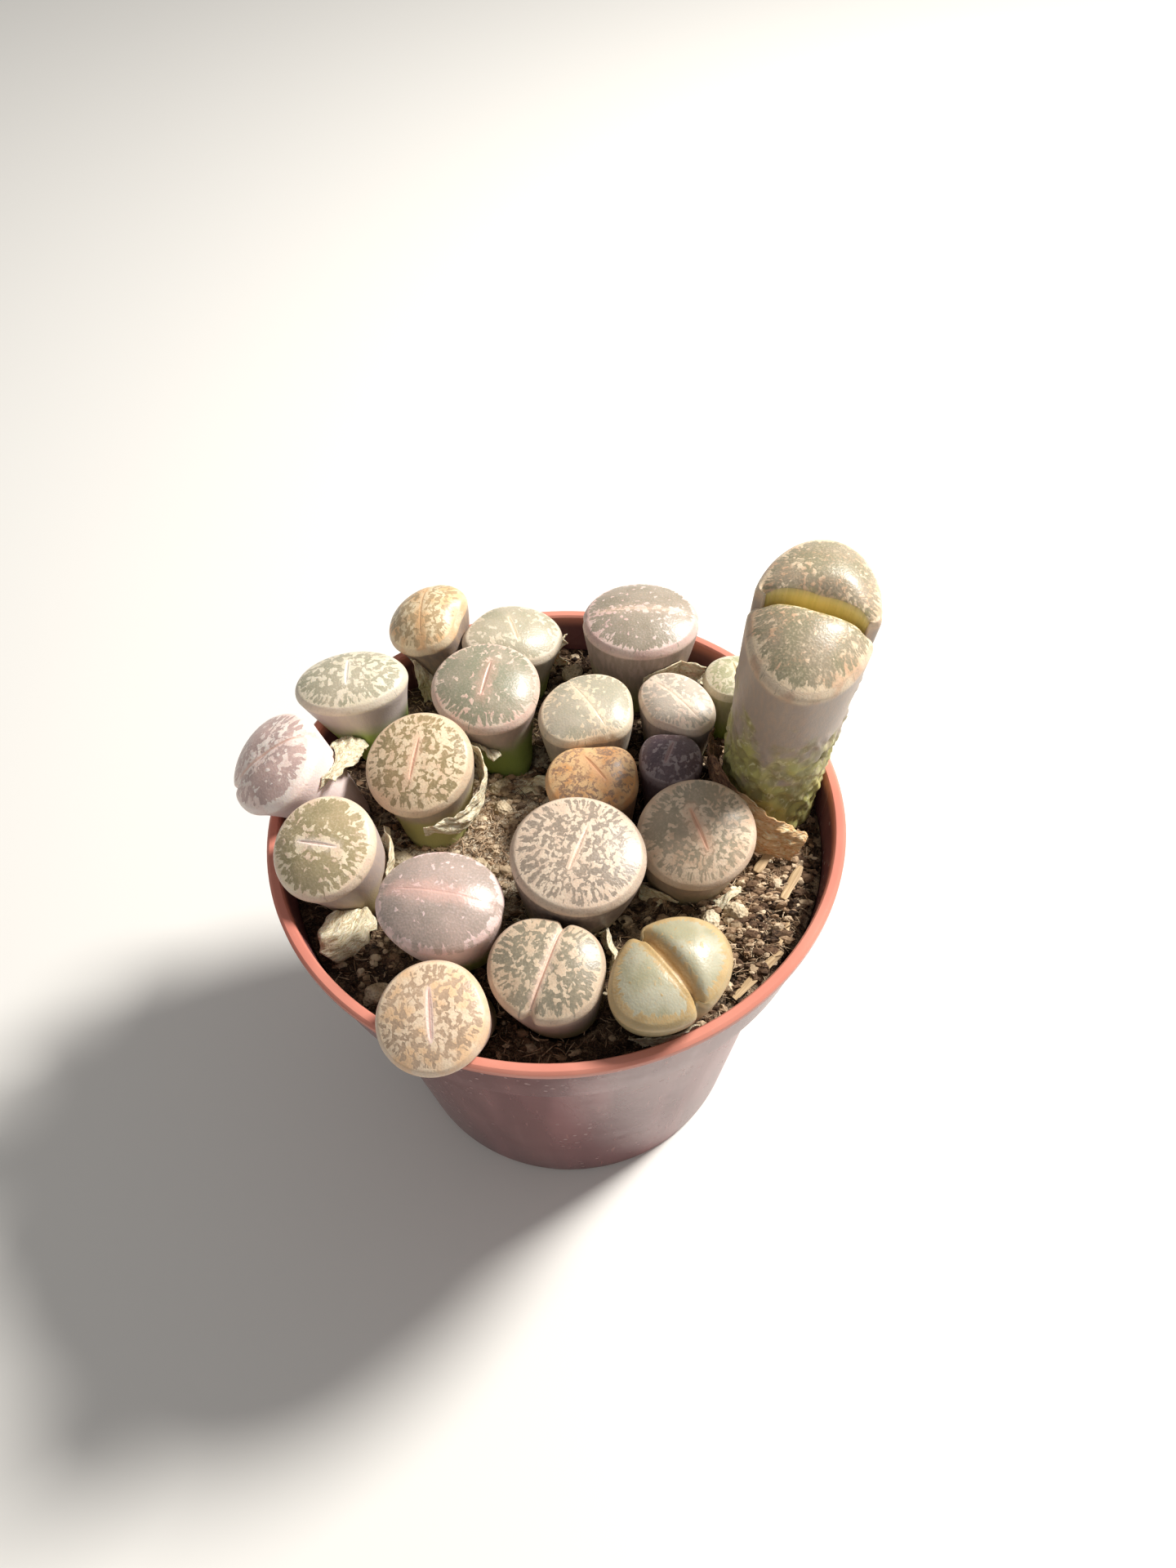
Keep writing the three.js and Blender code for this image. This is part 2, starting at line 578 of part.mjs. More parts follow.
// A papery sheet following a path, bowed across, wrinkled along, and thickened both ways from its middle.
function sheathSolid(sheath, seed, grow = 0) {
  const curve = new THREE.CatmullRomCurve3(
    sheath.path.map(([x, y, z]) => new THREE.Vector3(x, y, POT.height + z)),
  );
  const [alongCount, acrossCount] = [Math.max(6, 2 * sheath.path.length), 3];
  const reach = grow / curve.getLength();
  const clamp = THREE.MathUtils.clamp;
  const middle = (u, v) => {
    const [t, w] = [clamp(u, 0, 1), clamp(v, 0, 1)];
    const ahead = curve.getTangent(t);
    const centre = curve.getPoint(t).addScaledVector(ahead, (u - t) * curve.getLength());
    const side = new THREE.Vector3().crossVectors(ahead, new THREE.Vector3(0, 0, 1));
    if (side.length() < 0.1) side.set(1, 0, 0);
    side.normalize();
    const up = new THREE.Vector3().crossVectors(side, ahead);
    const roll = THREE.MathUtils.degToRad(mix(...sheath.roll, t));
    const across = side.clone().multiplyScalar(Math.cos(roll)).addScaledVector(up, Math.sin(roll));
    const out = new THREE.Vector3().crossVectors(across, ahead);
    const [start, mid, end] = sheath.width;
    const width = mix(t < 0.5 ? start : end, mid, Math.sin(t * Math.PI));
    const offset = (w - 0.5) * width + 1.6 * grow * Math.sign(v - w);
    const bow = sheath.curl * (1 - (2 * w - 1) ** 2);
    const pucker = 0.35 * Math.sin(9 * t + seed) * Math.cos(5 * w + 2 * seed);
    const crease = pucker + 0.3 * (w - 0.5) * Math.sin(14 * t + seed);
    return centre.addScaledVector(across, offset).addScaledVector(out, bow + crease);
  };
  const points = [];
  for (const face of [1, -1])
    for (let j = 0; j <= acrossCount; j++)
      for (let i = 0; i <= alongCount; i++) {
        const u = i / alongCount + (i === 0 ? -reach : i === alongCount ? reach : 0);
        const v = j / acrossCount + (j === 0 ? -reach : j === acrossCount ? reach : 0);
        const here = middle(u, v);
        const [nearU, nearV] = [clamp(u, 0.02, 0.98), clamp(v, 0.02, 0.98)];
        const du = middle(nearU + 0.01, nearV).sub(middle(nearU - 0.01, nearV));
        const dv = middle(nearU, nearV + 0.01).sub(middle(nearU, nearV - 0.01));
        const out = du.cross(dv).normalize();
        points.push(here.addScaledVector(out, face * (SHEATH_THICKNESS / 2 + grow)));
      }
  const row = alongCount + 1;
  const half = row * (acrossCount + 1);
  const faces = [];
  const quad = (a, b, c, d) => faces.push([a, b, c], [a, c, d]);
  for (let j = 0; j < acrossCount; j++)
    for (let i = 0; i < alongCount; i++) {
      const a = j * row + i;
      quad(a, a + 1, a + row + 1, a + row);
      quad(half + a, half + a + row, half + a + row + 1, half + a + 1);
    }
  const border = [];
  for (let i = 0; i < alongCount; i++) border.push(i);
  for (let j = 0; j < acrossCount; j++) border.push(j * row + alongCount);
  for (let i = alongCount; i > 0; i--) border.push(acrossCount * row + i);
  for (let j = acrossCount; j > 0; j--) border.push(j * row);
  border.forEach((here, k) => {
    const next = border[(k + 1) % border.length];
    quad(here, here + half, next + half, next);
  });
  return solidOf(geometryFrom(points, faces));
}

function largest(solid) {
  const pieces = solid.decompose();
  return pieces.reduce((best, piece) => (piece.volume() > best.volume() ? piece : best));
}

// ---- the part ---------------------------------------------------------------------------------

const MATERIALS = {
  pot: new THREE.MeshStandardMaterial({ color: 0xb8614e, roughness: 0.45, metalness: 0 }),
  soil: new THREE.MeshStandardMaterial({ color: 0x4a3a2e, roughness: 1, metalness: 0 }),
  body: new THREE.MeshStandardMaterial({ color: 0xa79a86, roughness: 0.6, metalness: 0 }),
  sheath: new THREE.MeshStandardMaterial({ color: 0xd8cba8, roughness: 0.9, metalness: 0 }),
  stone: new THREE.MeshStandardMaterial({ color: 0xc4b79c, roughness: 0.95, metalness: 0 }),
  straw: new THREE.MeshStandardMaterial({ color: 0xb89a68, roughness: 0.9, metalness: 0 }),
};

const part = new THREE.Group();
function add(name, solid, material) {
  const mesh = new THREE.Mesh(geometryOf(solid), MATERIALS[material]);
  mesh.name = name;
  part.add(mesh);
}
const number = (n) => String(n + 1).padStart(2, "0");

// Bodies that lean over the edge of the pot are pressed in by it.
const roomForRim = rimRoom();
const plants = PLANTS.map((plant) => solidOf(plantGeometry(plant)).subtract(roomForRim));
const roomForPlants = wasm.Manifold.union(PLANTS.map((plant) => solidOf(plantGeometry(plant, CLEAR))));

// Each loose piece keeps clear of the plants and of the loose pieces laid before it.
const pot = potSolid();
const laid = [];
function lay(name, solid, grown, material) {
  const free = laid.reduce((rest, other) => rest.subtract(other.grown), solid.subtract(roomForPlants));
  laid.push({ name, solid: largest(free).simplify(TIDY), grown, material });
}
STONES.forEach((stone, n) => {
  lay(`stone_${number(n)}`, pebble(stone, n), pebble(stone, n, CLEAR), "stone");
});
SHEATHS.forEach((sheath, n) => {
  lay(`sheath_${number(n)}`, sheathSolid(sheath, n), sheathSolid(sheath, n, CLEAR + 0.2), "sheath");
});
STRAWS.forEach((one, n) => {
  lay(`straw_${number(n)}`, straw(one), straw(one, CLEAR), "straw");
});

// Grit is scattered over the soil and is one piece with it.
const grit = Array.from({ length: GRIT_COUNT }, (_, n) => {
  const radius = 53 * Math.sqrt(chance(n, 3));
  const angle = 2.39996 * n;
  const [x, y] = [radius * Math.cos(angle), radius * Math.sin(angle)];
  const size = 0.7 + 0.9 * chance(n, 5);
  const place = [x, y, soilHeight(x, y) - POT.height + 0.2 * size];
  return pebble({ place, size: [size * 1.2, size, size * 0.9], turn: 77 * n }, n + 40);
});
const cut = [...PLANTS.map(socketSolid), ...laid.map((piece) => piece.grown)];
const rough = wasm.Manifold.union([soilBlock(), ...grit]).subtract(wasm.Manifold.union(cut));
const soil = largest(rough).simplify(TIDY);

add("pot", pot, "pot");
add("soil", soil, "soil");
plants.forEach((solid, n) => add(`lithops_${number(n)}`, solid, "body"));
laid.forEach((piece) => add(piece.name, piece.solid, piece.material));

export default part;
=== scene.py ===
# Looks for the potted lithops: a plastic nursery pot, twenty living-stone bodies, gritty peat, dried
# sheaths, pebbles and straws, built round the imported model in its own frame, in metres.
import json
import math
import random
from collections import namedtuple

import bpy
import numpy as np
from mathutils import Matrix, Vector, noise as field

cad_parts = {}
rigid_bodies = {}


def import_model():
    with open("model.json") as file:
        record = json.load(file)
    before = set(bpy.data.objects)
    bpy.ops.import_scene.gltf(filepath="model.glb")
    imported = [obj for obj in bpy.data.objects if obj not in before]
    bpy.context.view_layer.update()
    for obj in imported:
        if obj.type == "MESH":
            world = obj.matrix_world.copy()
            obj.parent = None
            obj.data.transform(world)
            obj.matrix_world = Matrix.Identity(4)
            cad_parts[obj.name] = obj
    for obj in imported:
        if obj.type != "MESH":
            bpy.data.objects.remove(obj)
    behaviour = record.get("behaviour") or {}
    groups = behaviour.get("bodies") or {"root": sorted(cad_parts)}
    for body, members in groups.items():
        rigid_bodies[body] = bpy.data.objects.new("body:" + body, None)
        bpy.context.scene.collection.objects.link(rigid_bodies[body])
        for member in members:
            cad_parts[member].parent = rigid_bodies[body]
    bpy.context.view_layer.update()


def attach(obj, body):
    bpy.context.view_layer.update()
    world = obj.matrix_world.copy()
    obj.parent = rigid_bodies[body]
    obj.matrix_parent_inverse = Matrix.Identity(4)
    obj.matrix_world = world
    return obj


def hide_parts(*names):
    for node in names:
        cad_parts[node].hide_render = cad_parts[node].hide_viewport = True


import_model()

MM = 0.001


# ---- camera ------------------------------------------------------------------------------------
# Looks down at the pot from the front at about fifty degrees, a little rolled.
camera = bpy.data.objects.new("camera", bpy.data.cameras.new("camera"))
bpy.context.scene.collection.objects.link(camera)
camera.data.lens = 27.04
camera.data.sensor_width = 36
camera.data.clip_start = 0.01
view_right = Vector((0.9989, -0.0358, -0.0288))
view_up = Vector((0.0459, 0.7785, 0.6259))
view_back = view_right.cross(view_up)
turned = Matrix((view_right, view_up, view_back)).transposed().to_4x4()
camera.matrix_world = Matrix.Translation((0.0070, -0.1508, 0.2886)) @ turned
bpy.context.scene.camera = camera


# ---- pot ---------------------------------------------------------------------------------------
# A thin nursery pot of terracotta-coloured plastic, moulded in one piece: a tapered wall, a step out to
# a deeper collar, a rolled lip, a raised floor with drain holes and a ring foot.
POT_HEIGHT = 94
POT_OUTLINE = [
    (0, 0), (9, 0), (10, 2), (36, 2), (37, 0), (41, 0), (42, 1), (52, 75), (52.8, 76), (56, 76),
    (56.4, 76.5), (59.2, 91.8), (60, 92.2), (60, 93.5), (59.4, 94), (58, 94), (57.6, 93.5),
    (55.4, 77.4), (51.3, 77), (51, 76.4), (41, 4), (40, 3), (0, 3),
]
POT_SIDES = 144
EDGE_ROUNDING = 0.25
DRAIN_HOLES, DRAIN_RADIUS, DRAIN_RING = 8, 3.2, 24


def deselect():
    for other in bpy.context.view_layer.objects:
        other.select_set(False)


def work_on(piece):
    deselect()
    piece.select_set(True)
    bpy.context.view_layer.objects.active = piece


def mesh_piece(name, points, faces=(), edges=()):
    """A new object at the origin from points in millimetres."""
    mesh = bpy.data.meshes.new(name)
    mesh.from_pydata([tuple(c * MM for c in p) for p in points], list(edges), list(faces))
    mesh.update()
    piece = bpy.data.objects.new(name, mesh)
    bpy.context.scene.collection.objects.link(piece)
    return piece


def apply_all(piece):
    work_on(piece)
    for modifier in list(piece.modifiers):
        bpy.ops.object.modifier_apply(modifier=modifier.name)


def finish_of(name, **sockets):
    """Starts a new material. Plain values are set on its shader's own sockets, and every node made from
    here on goes into its tree, until the next material is started."""
    global tree, shader
    finish = bpy.data.materials.new(name)
    finish.use_nodes = True
    tree = finish.node_tree
    shader = tree.nodes["Principled BSDF"]
    for socket, value in sockets.items():
        shader.inputs[socket.replace("_", " ")].default_value = value
    return finish


def node(kind, inputs, output=0, **settings):
    """Adds a node, links or sets its inputs, and gives back one of its outputs."""
    made = tree.nodes.new("ShaderNode" + kind)
    for key, value in settings.items():
        setattr(made, key, value)
    for key, value in inputs.items():
        if isinstance(value, bpy.types.NodeSocket):
            tree.links.new(value, made.inputs[key])
        else:
            made.inputs[key].default_value = value
    return made.outputs[output]


def noise_of(at, scale, detail=2.0, distortion=0.0, roughness=0.5):
    values = {"Vector": at, "Scale": scale, "Detail": detail, "Roughness": roughness}
    return node("TexNoise", values | {"Distortion": distortion})


def spread(value, low, high, to_low=0.0, to_high=1.0):
    """A smooth step of value from low to high."""
    ends = {"Value": value, "From Min": low, "From Max": high, "To Min": to_low, "To Max": to_high}
    return node("MapRange", ends, interpolation_type="SMOOTHSTEP")


def maths(operation, a, b=0.0, c=0.0):
    return node("Math", {0: a, 1: b, 2: c}, operation=operation)


def added(first, *others):
    """The sum of all the values."""
    for other in others:
        first = maths("ADD", first, other)
    return first


def scaled(value, by, plus=0.0):
    """The value times another, plus a third."""
    return maths("MULTIPLY_ADD", value, by, plus)


def mixed(share, a, b):
    """Colour a turned into colour b by a share."""
    return node("Mix", {0: share, 6: a, 7: b}, output=2, data_type="RGBA", clamp_factor=True)


def where_on():
    """The place on the object itself, in metres."""
    return node("TexCoord", {}, output=3)


def kept_number(label):
    """A number kept for every point of the mesh."""
    return node("Attribute", {}, output=2, attribute_name=label)


def kept_vector(label):
    return node("Attribute", {}, output=1, attribute_name=label)


def squeezed(at, scale, turn=0.0):
    """The same place squeezed along its axes, for streaks and grain."""
    return node("Mapping", {"Vector": at, "Scale": scale, "Rotation": (0, 0, turn)})


def painted(colour, roughness):
    """Links the worked-out colour and roughness to the shader."""
    tree.links.new(colour, shader.inputs["Base Color"])
    tree.links.new(roughness, shader.inputs["Roughness"])


def ramp(value, stops):
    """A colour read off a row of stops, each with its position and screen values."""
    made = tree.nodes.new("ShaderNodeValToRGB")
    tree.links.new(value, made.inputs[0])
    while len(made.color_ramp.elements) < len(stops):
        made.color_ramp.elements.new(0.5)
    for element, (position, colour) in zip(made.color_ramp.elements, stops):
        element.position = position
        element.color = tint(*colour)
    return made.outputs[0]


def tint(red, green, blue):
    """A shader colour from screen values of 0 to 255."""
    levels = [c / 255 for c in (red, green, blue)]
    return (*[c / 12.92 if c < 0.04045 else ((c + 0.055) / 1.055) ** 2.4 for c in levels], 1)


def bumps(height, distance, strength=1.0):
    normal = node("Bump", {"Height": height, "Distance": distance, "Strength": strength})
    tree.links.new(normal, shader.inputs["Normal"])


strokes = [(n, n + 1) for n in range(len(POT_OUTLINE) - 1)]
pot = mesh_piece("pot_shell", [(r, 0, z) for r, z in POT_OUTLINE], edges=strokes)
work_on(pot)
bpy.ops.object.mode_set(mode="EDIT")
bpy.ops.mesh.select_all(action="SELECT")
bpy.ops.mesh.spin(steps=POT_SIDES, angle=2 * math.pi, center=(0, 0, 0), axis=(0, 0, 1))
bpy.ops.mesh.select_all(action="SELECT")
bpy.ops.mesh.remove_doubles(threshold=1e-6)
bpy.ops.mesh.normals_make_consistent(inside=False)
bpy.ops.object.mode_set(mode="OBJECT")
deselect()
drills = []
for n in range(DRAIN_HOLES):
    angle = (n + 0.5) * 2 * math.pi / DRAIN_HOLES
    at = (DRAIN_RING * math.cos(angle) * MM, DRAIN_RING * math.sin(angle) * MM, MM)
    bpy.ops.mesh.primitive_cylinder_add(vertices=32, radius=DRAIN_RADIUS * MM, depth=10 * MM, location=at)
    drills.append(bpy.context.object)
for drill in drills:
    drill.select_set(True)
bpy.ops.object.join()
drill = bpy.context.object
cut = pot.modifiers.new("drain", "BOOLEAN")
cut.object = drill
cut.solver = "EXACT"
rounded = pot.modifiers.new("rounded", "BEVEL")
rounded.width = EDGE_ROUNDING * MM
rounded.segments = 2
rounded.limit_method = "ANGLE"
rounded.angle_limit = math.radians(25)
apply_all(pot)
bpy.data.objects.remove(drill)
work_on(pot)
bpy.ops.object.shade_smooth_by_angle(angle=math.radians(35))

plastic = finish_of("pot plastic", Specular_IOR_Level=0.2)
place = where_on()
height = node("SeparateXYZ", {0: place}, output=2)
cloud = noise_of(place, 26, detail=3, distortion=0.4)
moulded = mixed(spread(cloud, 0.35, 0.68), tint(214, 142, 124), tint(202, 126, 110))
# Under the lip the wall is turned a patchy, darker purple-brown: painted shade.
below = spread(height, 0.0935, 0.0905)
plastic_mottle = noise_of(squeezed(place, (1, 1, 0.25)), 60, detail=4, distortion=0.8)
painted_shade_share = scaled(below, spread(plastic_mottle, 0.25, 0.75, 0.84, 0.93))
shaded_wall = mixed(painted_shade_share, moulded, tint(102, 66, 71))
# Lighter vertical streaks under the lip are painted reflections.
streaks = noise_of(squeezed(place, (1, 1, 0.05)), 70, detail=2, distortion=0.2)
runs = scaled(below, spread(streaks, 0.47, 0.7, 0.0, 0.4))
reflection_streaked = mixed(runs, shaded_wall, tint(180, 124, 124))
cells = node("TexVoronoi", {"Vector": place, "Scale": 420.0})
patchy = scaled(below, spread(noise_of(place, 45, detail=2), 0.5, 0.66))
drops = scaled(patchy, spread(cells, 0.22, 0.12))
spotted = mixed(scaled(drops, 0.5), reflection_streaked, tint(214, 196, 190))
scuffs = spread(noise_of(squeezed(place, (900, 900, 40)), 1.0, detail=1), 0.7, 0.78)
worn = mixed(scaled(scuffs, 0.25), spotted, tint(205, 150, 135))
painted(worn, added(scaled(plastic_mottle, 0.2, 0.14), scaled(drops, 0.3)))
pebbled = scaled(noise_of(place, 1800, detail=1), 0.02)
waves = added(noise_of(place, 70, detail=2), streaks, pebbled)
bumps(waves, 0.0008, strength=0.35)
pot.data.materials.append(plastic)
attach(pot, "root")
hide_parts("pot")


# ---- living-stone bodies -----------------------------------------------------------------------
# Each body is a pair of fat leaves grown together into a cone, with a flat patterned face on top that
# parts along a slit, a seam or an open cleft. The face is a square grid bent to a disc, and its edge is
# carried down in rings to the root. No primitive has this form, so the mesh is worked out directly.
SOIL_TOP = 85
ROOT_DEPTH = 10
SHOULDER_DROP = 1.7
# A body that stands higher than this above the rim is the tall one.
TALL = 20
# Inside of the pot's collar: radius and height at its foot, how much it widens and how deep it is. Then
# the gap kept to it, and the height from which a body may lean out over the lip.
COLLAR_RADIUS, COLLAR_FOOT, COLLAR_FLARE, COLLAR_DEPTH = 55.4, 77.4, 2.2, 16.6
RIM_CLEAR, OVER_LIP = 0.35, 94.3
# The face's edge as a share of the widest part below it, and how far apart the bodies' patterns lie.
RIM_SHARE = 0.93
PATTERN_STEP = 9.0
FACE_COLUMNS = 45
# How the two leaves part: reach along the face, half width, gap and depth of the opening in mm, bite at the
# sides, rounding of the lips, slope of the walls and lift of the second leaf.
Fissure = namedtuple("Fissure", "reach lip gap depth notch rounding slope lift")
FISSURES = {
    "slit": Fissure(0.42, 0.4, 0, 0.16, 0, 0.08, 1, 0),
    "lens": Fissure(0.5, 0.6, 0, 0.16, 0, 0.08, 1, 0),
    "seam": Fissure(0.78, 0.3, 0, 0.06, 0.02, 0.1, 1, 0),
    "cleft": Fissure(1, 0.35, 0, 0.45, 0.14, 0.55, 0.8, 0),
    "gape": Fissure(1, 1.5, 0.3, 1.9, 0.2, 0.5, 1, 0.8),
    "split": Fissure(1, 0.6, 1.8, 8, 0.16, 1.0, 0.6, 3.5),
}
# Centres of the face and of the base, height above the rim, half sizes along and across the fissure, its
# direction, lean, rise of the crown, size of the foot, taper, kind of fissure, and the dents (direction
# and depth) where neighbours press.
Body = namedtuple("Body", "face base up long wide turn lean crown foot taper fissure dents")
BODIES = [Body(*row) for row in [
    ((-27.6, 47.6), (-26.4, 44), 11, 9.8, 10.3, -97, (-18, 6), 3.6, 0.41, 1, "seam", [(-20, 2.5)]),
    ((-8.8, 45.2), (-8.6, 43), 6.6, 9.3, 12.2, -71, (12, 4), 2.5, 0.58, 1.3, "slit",
     [(160, 1.2), (-105, 2.2)]),
    ((-44.2, 31), (-38.5, 26), 9, 9.4, 12.6, -88, (-4, -2), 2.6, 0.5, 1, "slit", []),
    ((-13.8, 25.4), (-11, 21.5), 11, 11.6, 12.2, -104, (2, 10), 3, 0.5, 1.1, "slit", [(-10, 0.8)]),
    ((20.6, 44.4), (19, 41.5), 11, 13.2, 11.8, -4, (0, 0), 2.8, 0.68, 1.3, "seam", []),
    ((-58, 7.2), (-46.3, 8), 10.5, 11.2, 11.8, 16, (-30, 8), 3, 0.46, 0.9, "cleft", []),
    ((-28, 6.3), (-26, 4), 9, 11.6, 11.5, -104, (-8, 20), 2.6, 0.62, 1.1, "slit", []),
    ((8, 20.6), (8, 19.5), 7, 10.2, 11.5, -60, (0, 4), 2.5, 0.76, 1.3, "seam", [(5, 1.6), (-85, 2.4)]),
    ((26.9, 22.4), (26.5, 22.6), 6, 9.6, 7.7, -50, (0, 6), 2.2, 0.78, 1.3, "seam",
     [(185, 0.8), (-105, 1.6)]),
    ((40.6, 30.6), (40, 28.5), 5, 6.6, 7, -83, (0, 0), 2, 0.7, 1.3, "slit", []),
    ((50.6, 9.6), (45.4, 6), 41, 12.2, 18.6, -20, (4, 8), 5, (0.78, 0.54), 1.3, "split", []),
    ((8.6, 3.9), (9, 2.2), 5.5, 10, 10.8, -55, (0, 8), 2.7, 0.76, 1.3, "slit",
     [(70, 2.2), (104, 2.2), (5, 1.6), (-90, 1)]),
    ((24.4, 8.9), (24, 6.5), 4, 7.2, 7.2, -113, (0, 6), 2, 0.76, 1.3, "slit", [(175, 0.8), (85, 1.2)]),
    ((28, -14.2), (27, -12.5), 8, 11.3, 12, -72, (2, 22), 3, 0.72, 1.3, "slit", []),
    ((4.6, -21.8), (2.5, -19), 14, 12.6, 13.1, -112, (3, 8), 2, 0.7, 1.3, "slit", []),
    ((-45.6, -14.2), (-42, -12), 9, 10.6, 10.9, -14, (-10, 20), 2.5, 0.66, 1.2, "slit", []),
    ((-21.8, -29), (-20, -26.5), 11, 12.2, 10.7, -12, (0, 6), 3.4, 0.62, 1.3, "seam", []),
    ((-22.1, -52.7), (-18.5, -43.5), 10, 10.3, 10.4, -88, (-4, 18), 2, 0.6, 1.1, "lens", [(20, 0.6)]),
    ((-1.8, -42.6), (-0.5, -40.4), 8, 10.6, 11.4, -112, (-2, 12), 2.4, 0.76, 1.3, "cleft",
     [(-10, 0.8), (75, 1.4)]),
    ((19.9, -45.2), (19.2, -41), 9, 9.8, 12.9, -55, (2, 6), 3.8, 0.68, 1.3, "gape", [(180, 1)]),
]]


def unit(v):
    return v / np.linalg.norm(v)


def smooth(value, low, high):
    t = np.clip((value - low) / (high - low), 0, 1)
    return t * t * (3 - 2 * t)


def face_axes(body):
    lean_x, lean_y = [math.radians(a) for a in body.lean]
    out = np.array([math.sin(lean_x), -math.sin(lean_y), 0])
    out[2] = math.sqrt(1 - out @ out)
    turn = math.radians(body.turn)
    along = np.array([math.cos(turn), math.sin(turn), 0])
    along = unit(along - out * (along @ out))
    return along, np.cross(out, along), out


def middle_of(body):
    return np.array([*body.face, POT_HEIGHT + body.up], float)


def section(body, s):
    """Centre, two axes, half sizes and sink of the body's cross-section, face at 0 and soil at 1."""
    face = middle_of(body)
    base = np.array([*body.base, SOIL_TOP], float)
    height = np.linalg.norm(face - base)
    along, _, out = face_axes(body)
    share, buried = min(s, 1), max(s - 1, 0)
    straight = face - out * share * height
    centre = straight + (face + (base - face) * share - straight) * share
    centre[:2] *= 1 - 0.1 * buried
    centre[2] -= buried * ROOT_DEPTH
    up = unit(out + (np.array([0, 0, 1]) - out) * share)
    x = unit(along - up * (along @ up))
    y = np.cross(up, x)
    shoulder = min(SHOULDER_DROP / height, 0.2)
    sink = max((share - shoulder) / (1 - shoulder), 0)
    feet = np.broadcast_to(body.foot, 2)
    halves = []
    for size, foot in ((body.long, feet[0]), (body.wide, feet[1])):
        if s < shoulder:
            flare = RIM_SHARE + (1 - RIM_SHARE) * math.sin(0.5 * math.pi * s / shoulder)
        else:
            flare = 1 + (foot - 1) * sink ** body.taper
        halves.append(size * flare * (1 - 0.7 * min(buried, 1)))
    return centre, x, y, halves, sink, shoulder


def pressed_at(body, x, y):
    """How much of its full reach the body has towards each point, after its neighbours' dents."""
    angle = body.turn + np.degrees(np.arctan2(y * body.wide, x * body.long))
    share = np.ones_like(angle)
    for towards, depth in body.dents:
        off = (angle - towards + 540) % 360 - 180
        share -= depth / ((body.long + body.wide) / 2) * np.exp(-((off / 34) ** 2))
    return share


def disc(u, v):
    """Bends a square from -1 to 1 into a disc."""
    return u * np.sqrt(1 - v * v / 2), v * np.sqrt(1 - u * u / 2)


def off_the_rim(points):
    """Moves points out of the pot's collar and lip, so that a leaning body rests against it."""
    r = np.hypot(points[:, 0], points[:, 1])
    height = points[:, 2]
    inner = COLLAR_RADIUS + COLLAR_FLARE * np.clip((height - COLLAR_FOOT) / COLLAR_DEPTH, 0, 1) - RIM_CLEAR
    over = np.clip((height - OVER_LIP) / 1.4, 0, 1)
    limit = inner + 14 * over ** 0.7
    share = np.where((r > limit) & (height > 70), limit / np.maximum(r, 1e-6), 1)
    points[:, :2] *= share[:, None]


def lumps(points, size, seed):
    """Smooth noise from -1 to 1 over points, with lumps of the given size."""
    shift = Vector((seed * 7.13, seed * 3.7, seed * 5.3))
    return np.array([field.noise(Vector(p) / size + shift) for p in points])


def border_of(columns, rows):
    """Numbers of a grid's outer points, once round."""
    border = [*range(columns)]
    border += [j * columns + columns - 1 for j in range(1, rows)]
    border += [(rows - 1) * columns + i for i in range(columns - 2, -1, -1)]
    border += [j * columns for j in range(rows - 2, 0, -1)]
    return border


def squares_of(columns, rows):
    corners = [j * columns + i for j in range(rows - 1) for i in range(columns - 1)]
    return [(k, k + 1, k + columns + 1, k + columns) for k in corners]


def band_between(above, below):
    """Faces that join one ring of points to the next one down."""
    after = [*range(1, len(above)), 0]
    return [(above[k], below[k], below[m], above[m]) for k, m in enumerate(after)]


def closed_at(ring, tip):
    """Faces that close the last ring at a single point."""
    after = [*range(1, len(ring)), 0]
    return [(ring[k], tip, ring[m]) for k, m in enumerate(after)]


def keep_values(piece, label, values):
    """Keeps a number or a vector for every point of a piece, for its material to read."""
    values = np.ascontiguousarray(values, np.float32)
    kind, key = ("FLOAT_VECTOR", "vector") if values.ndim == 2 else ("FLOAT", "value")
    layer = piece.data.attributes.new(label, kind, "POINT")
    layer.data.foreach_set(key, values.ravel())


def soften(piece):
    for polygon in piece.data.polygons:
        polygon.use_smooth = True


def face_grid(body):
    """Columns along the fissure and rows across it, from -1 to 1, with the rows crowded at its lips."""
    near = np.array([0.3, 0.6, 0.8, 0.95, 1.15, 1.6, 2.3, 3.2]) * FISSURES[body.fissure].lip / body.wide
    far = np.linspace(near[-1], 1, 20)[1:]
    rows = np.concatenate([-far[::-1], -near[::-1], [0], near, far])
    return np.linspace(-1, 1, FACE_COLUMNS), rows


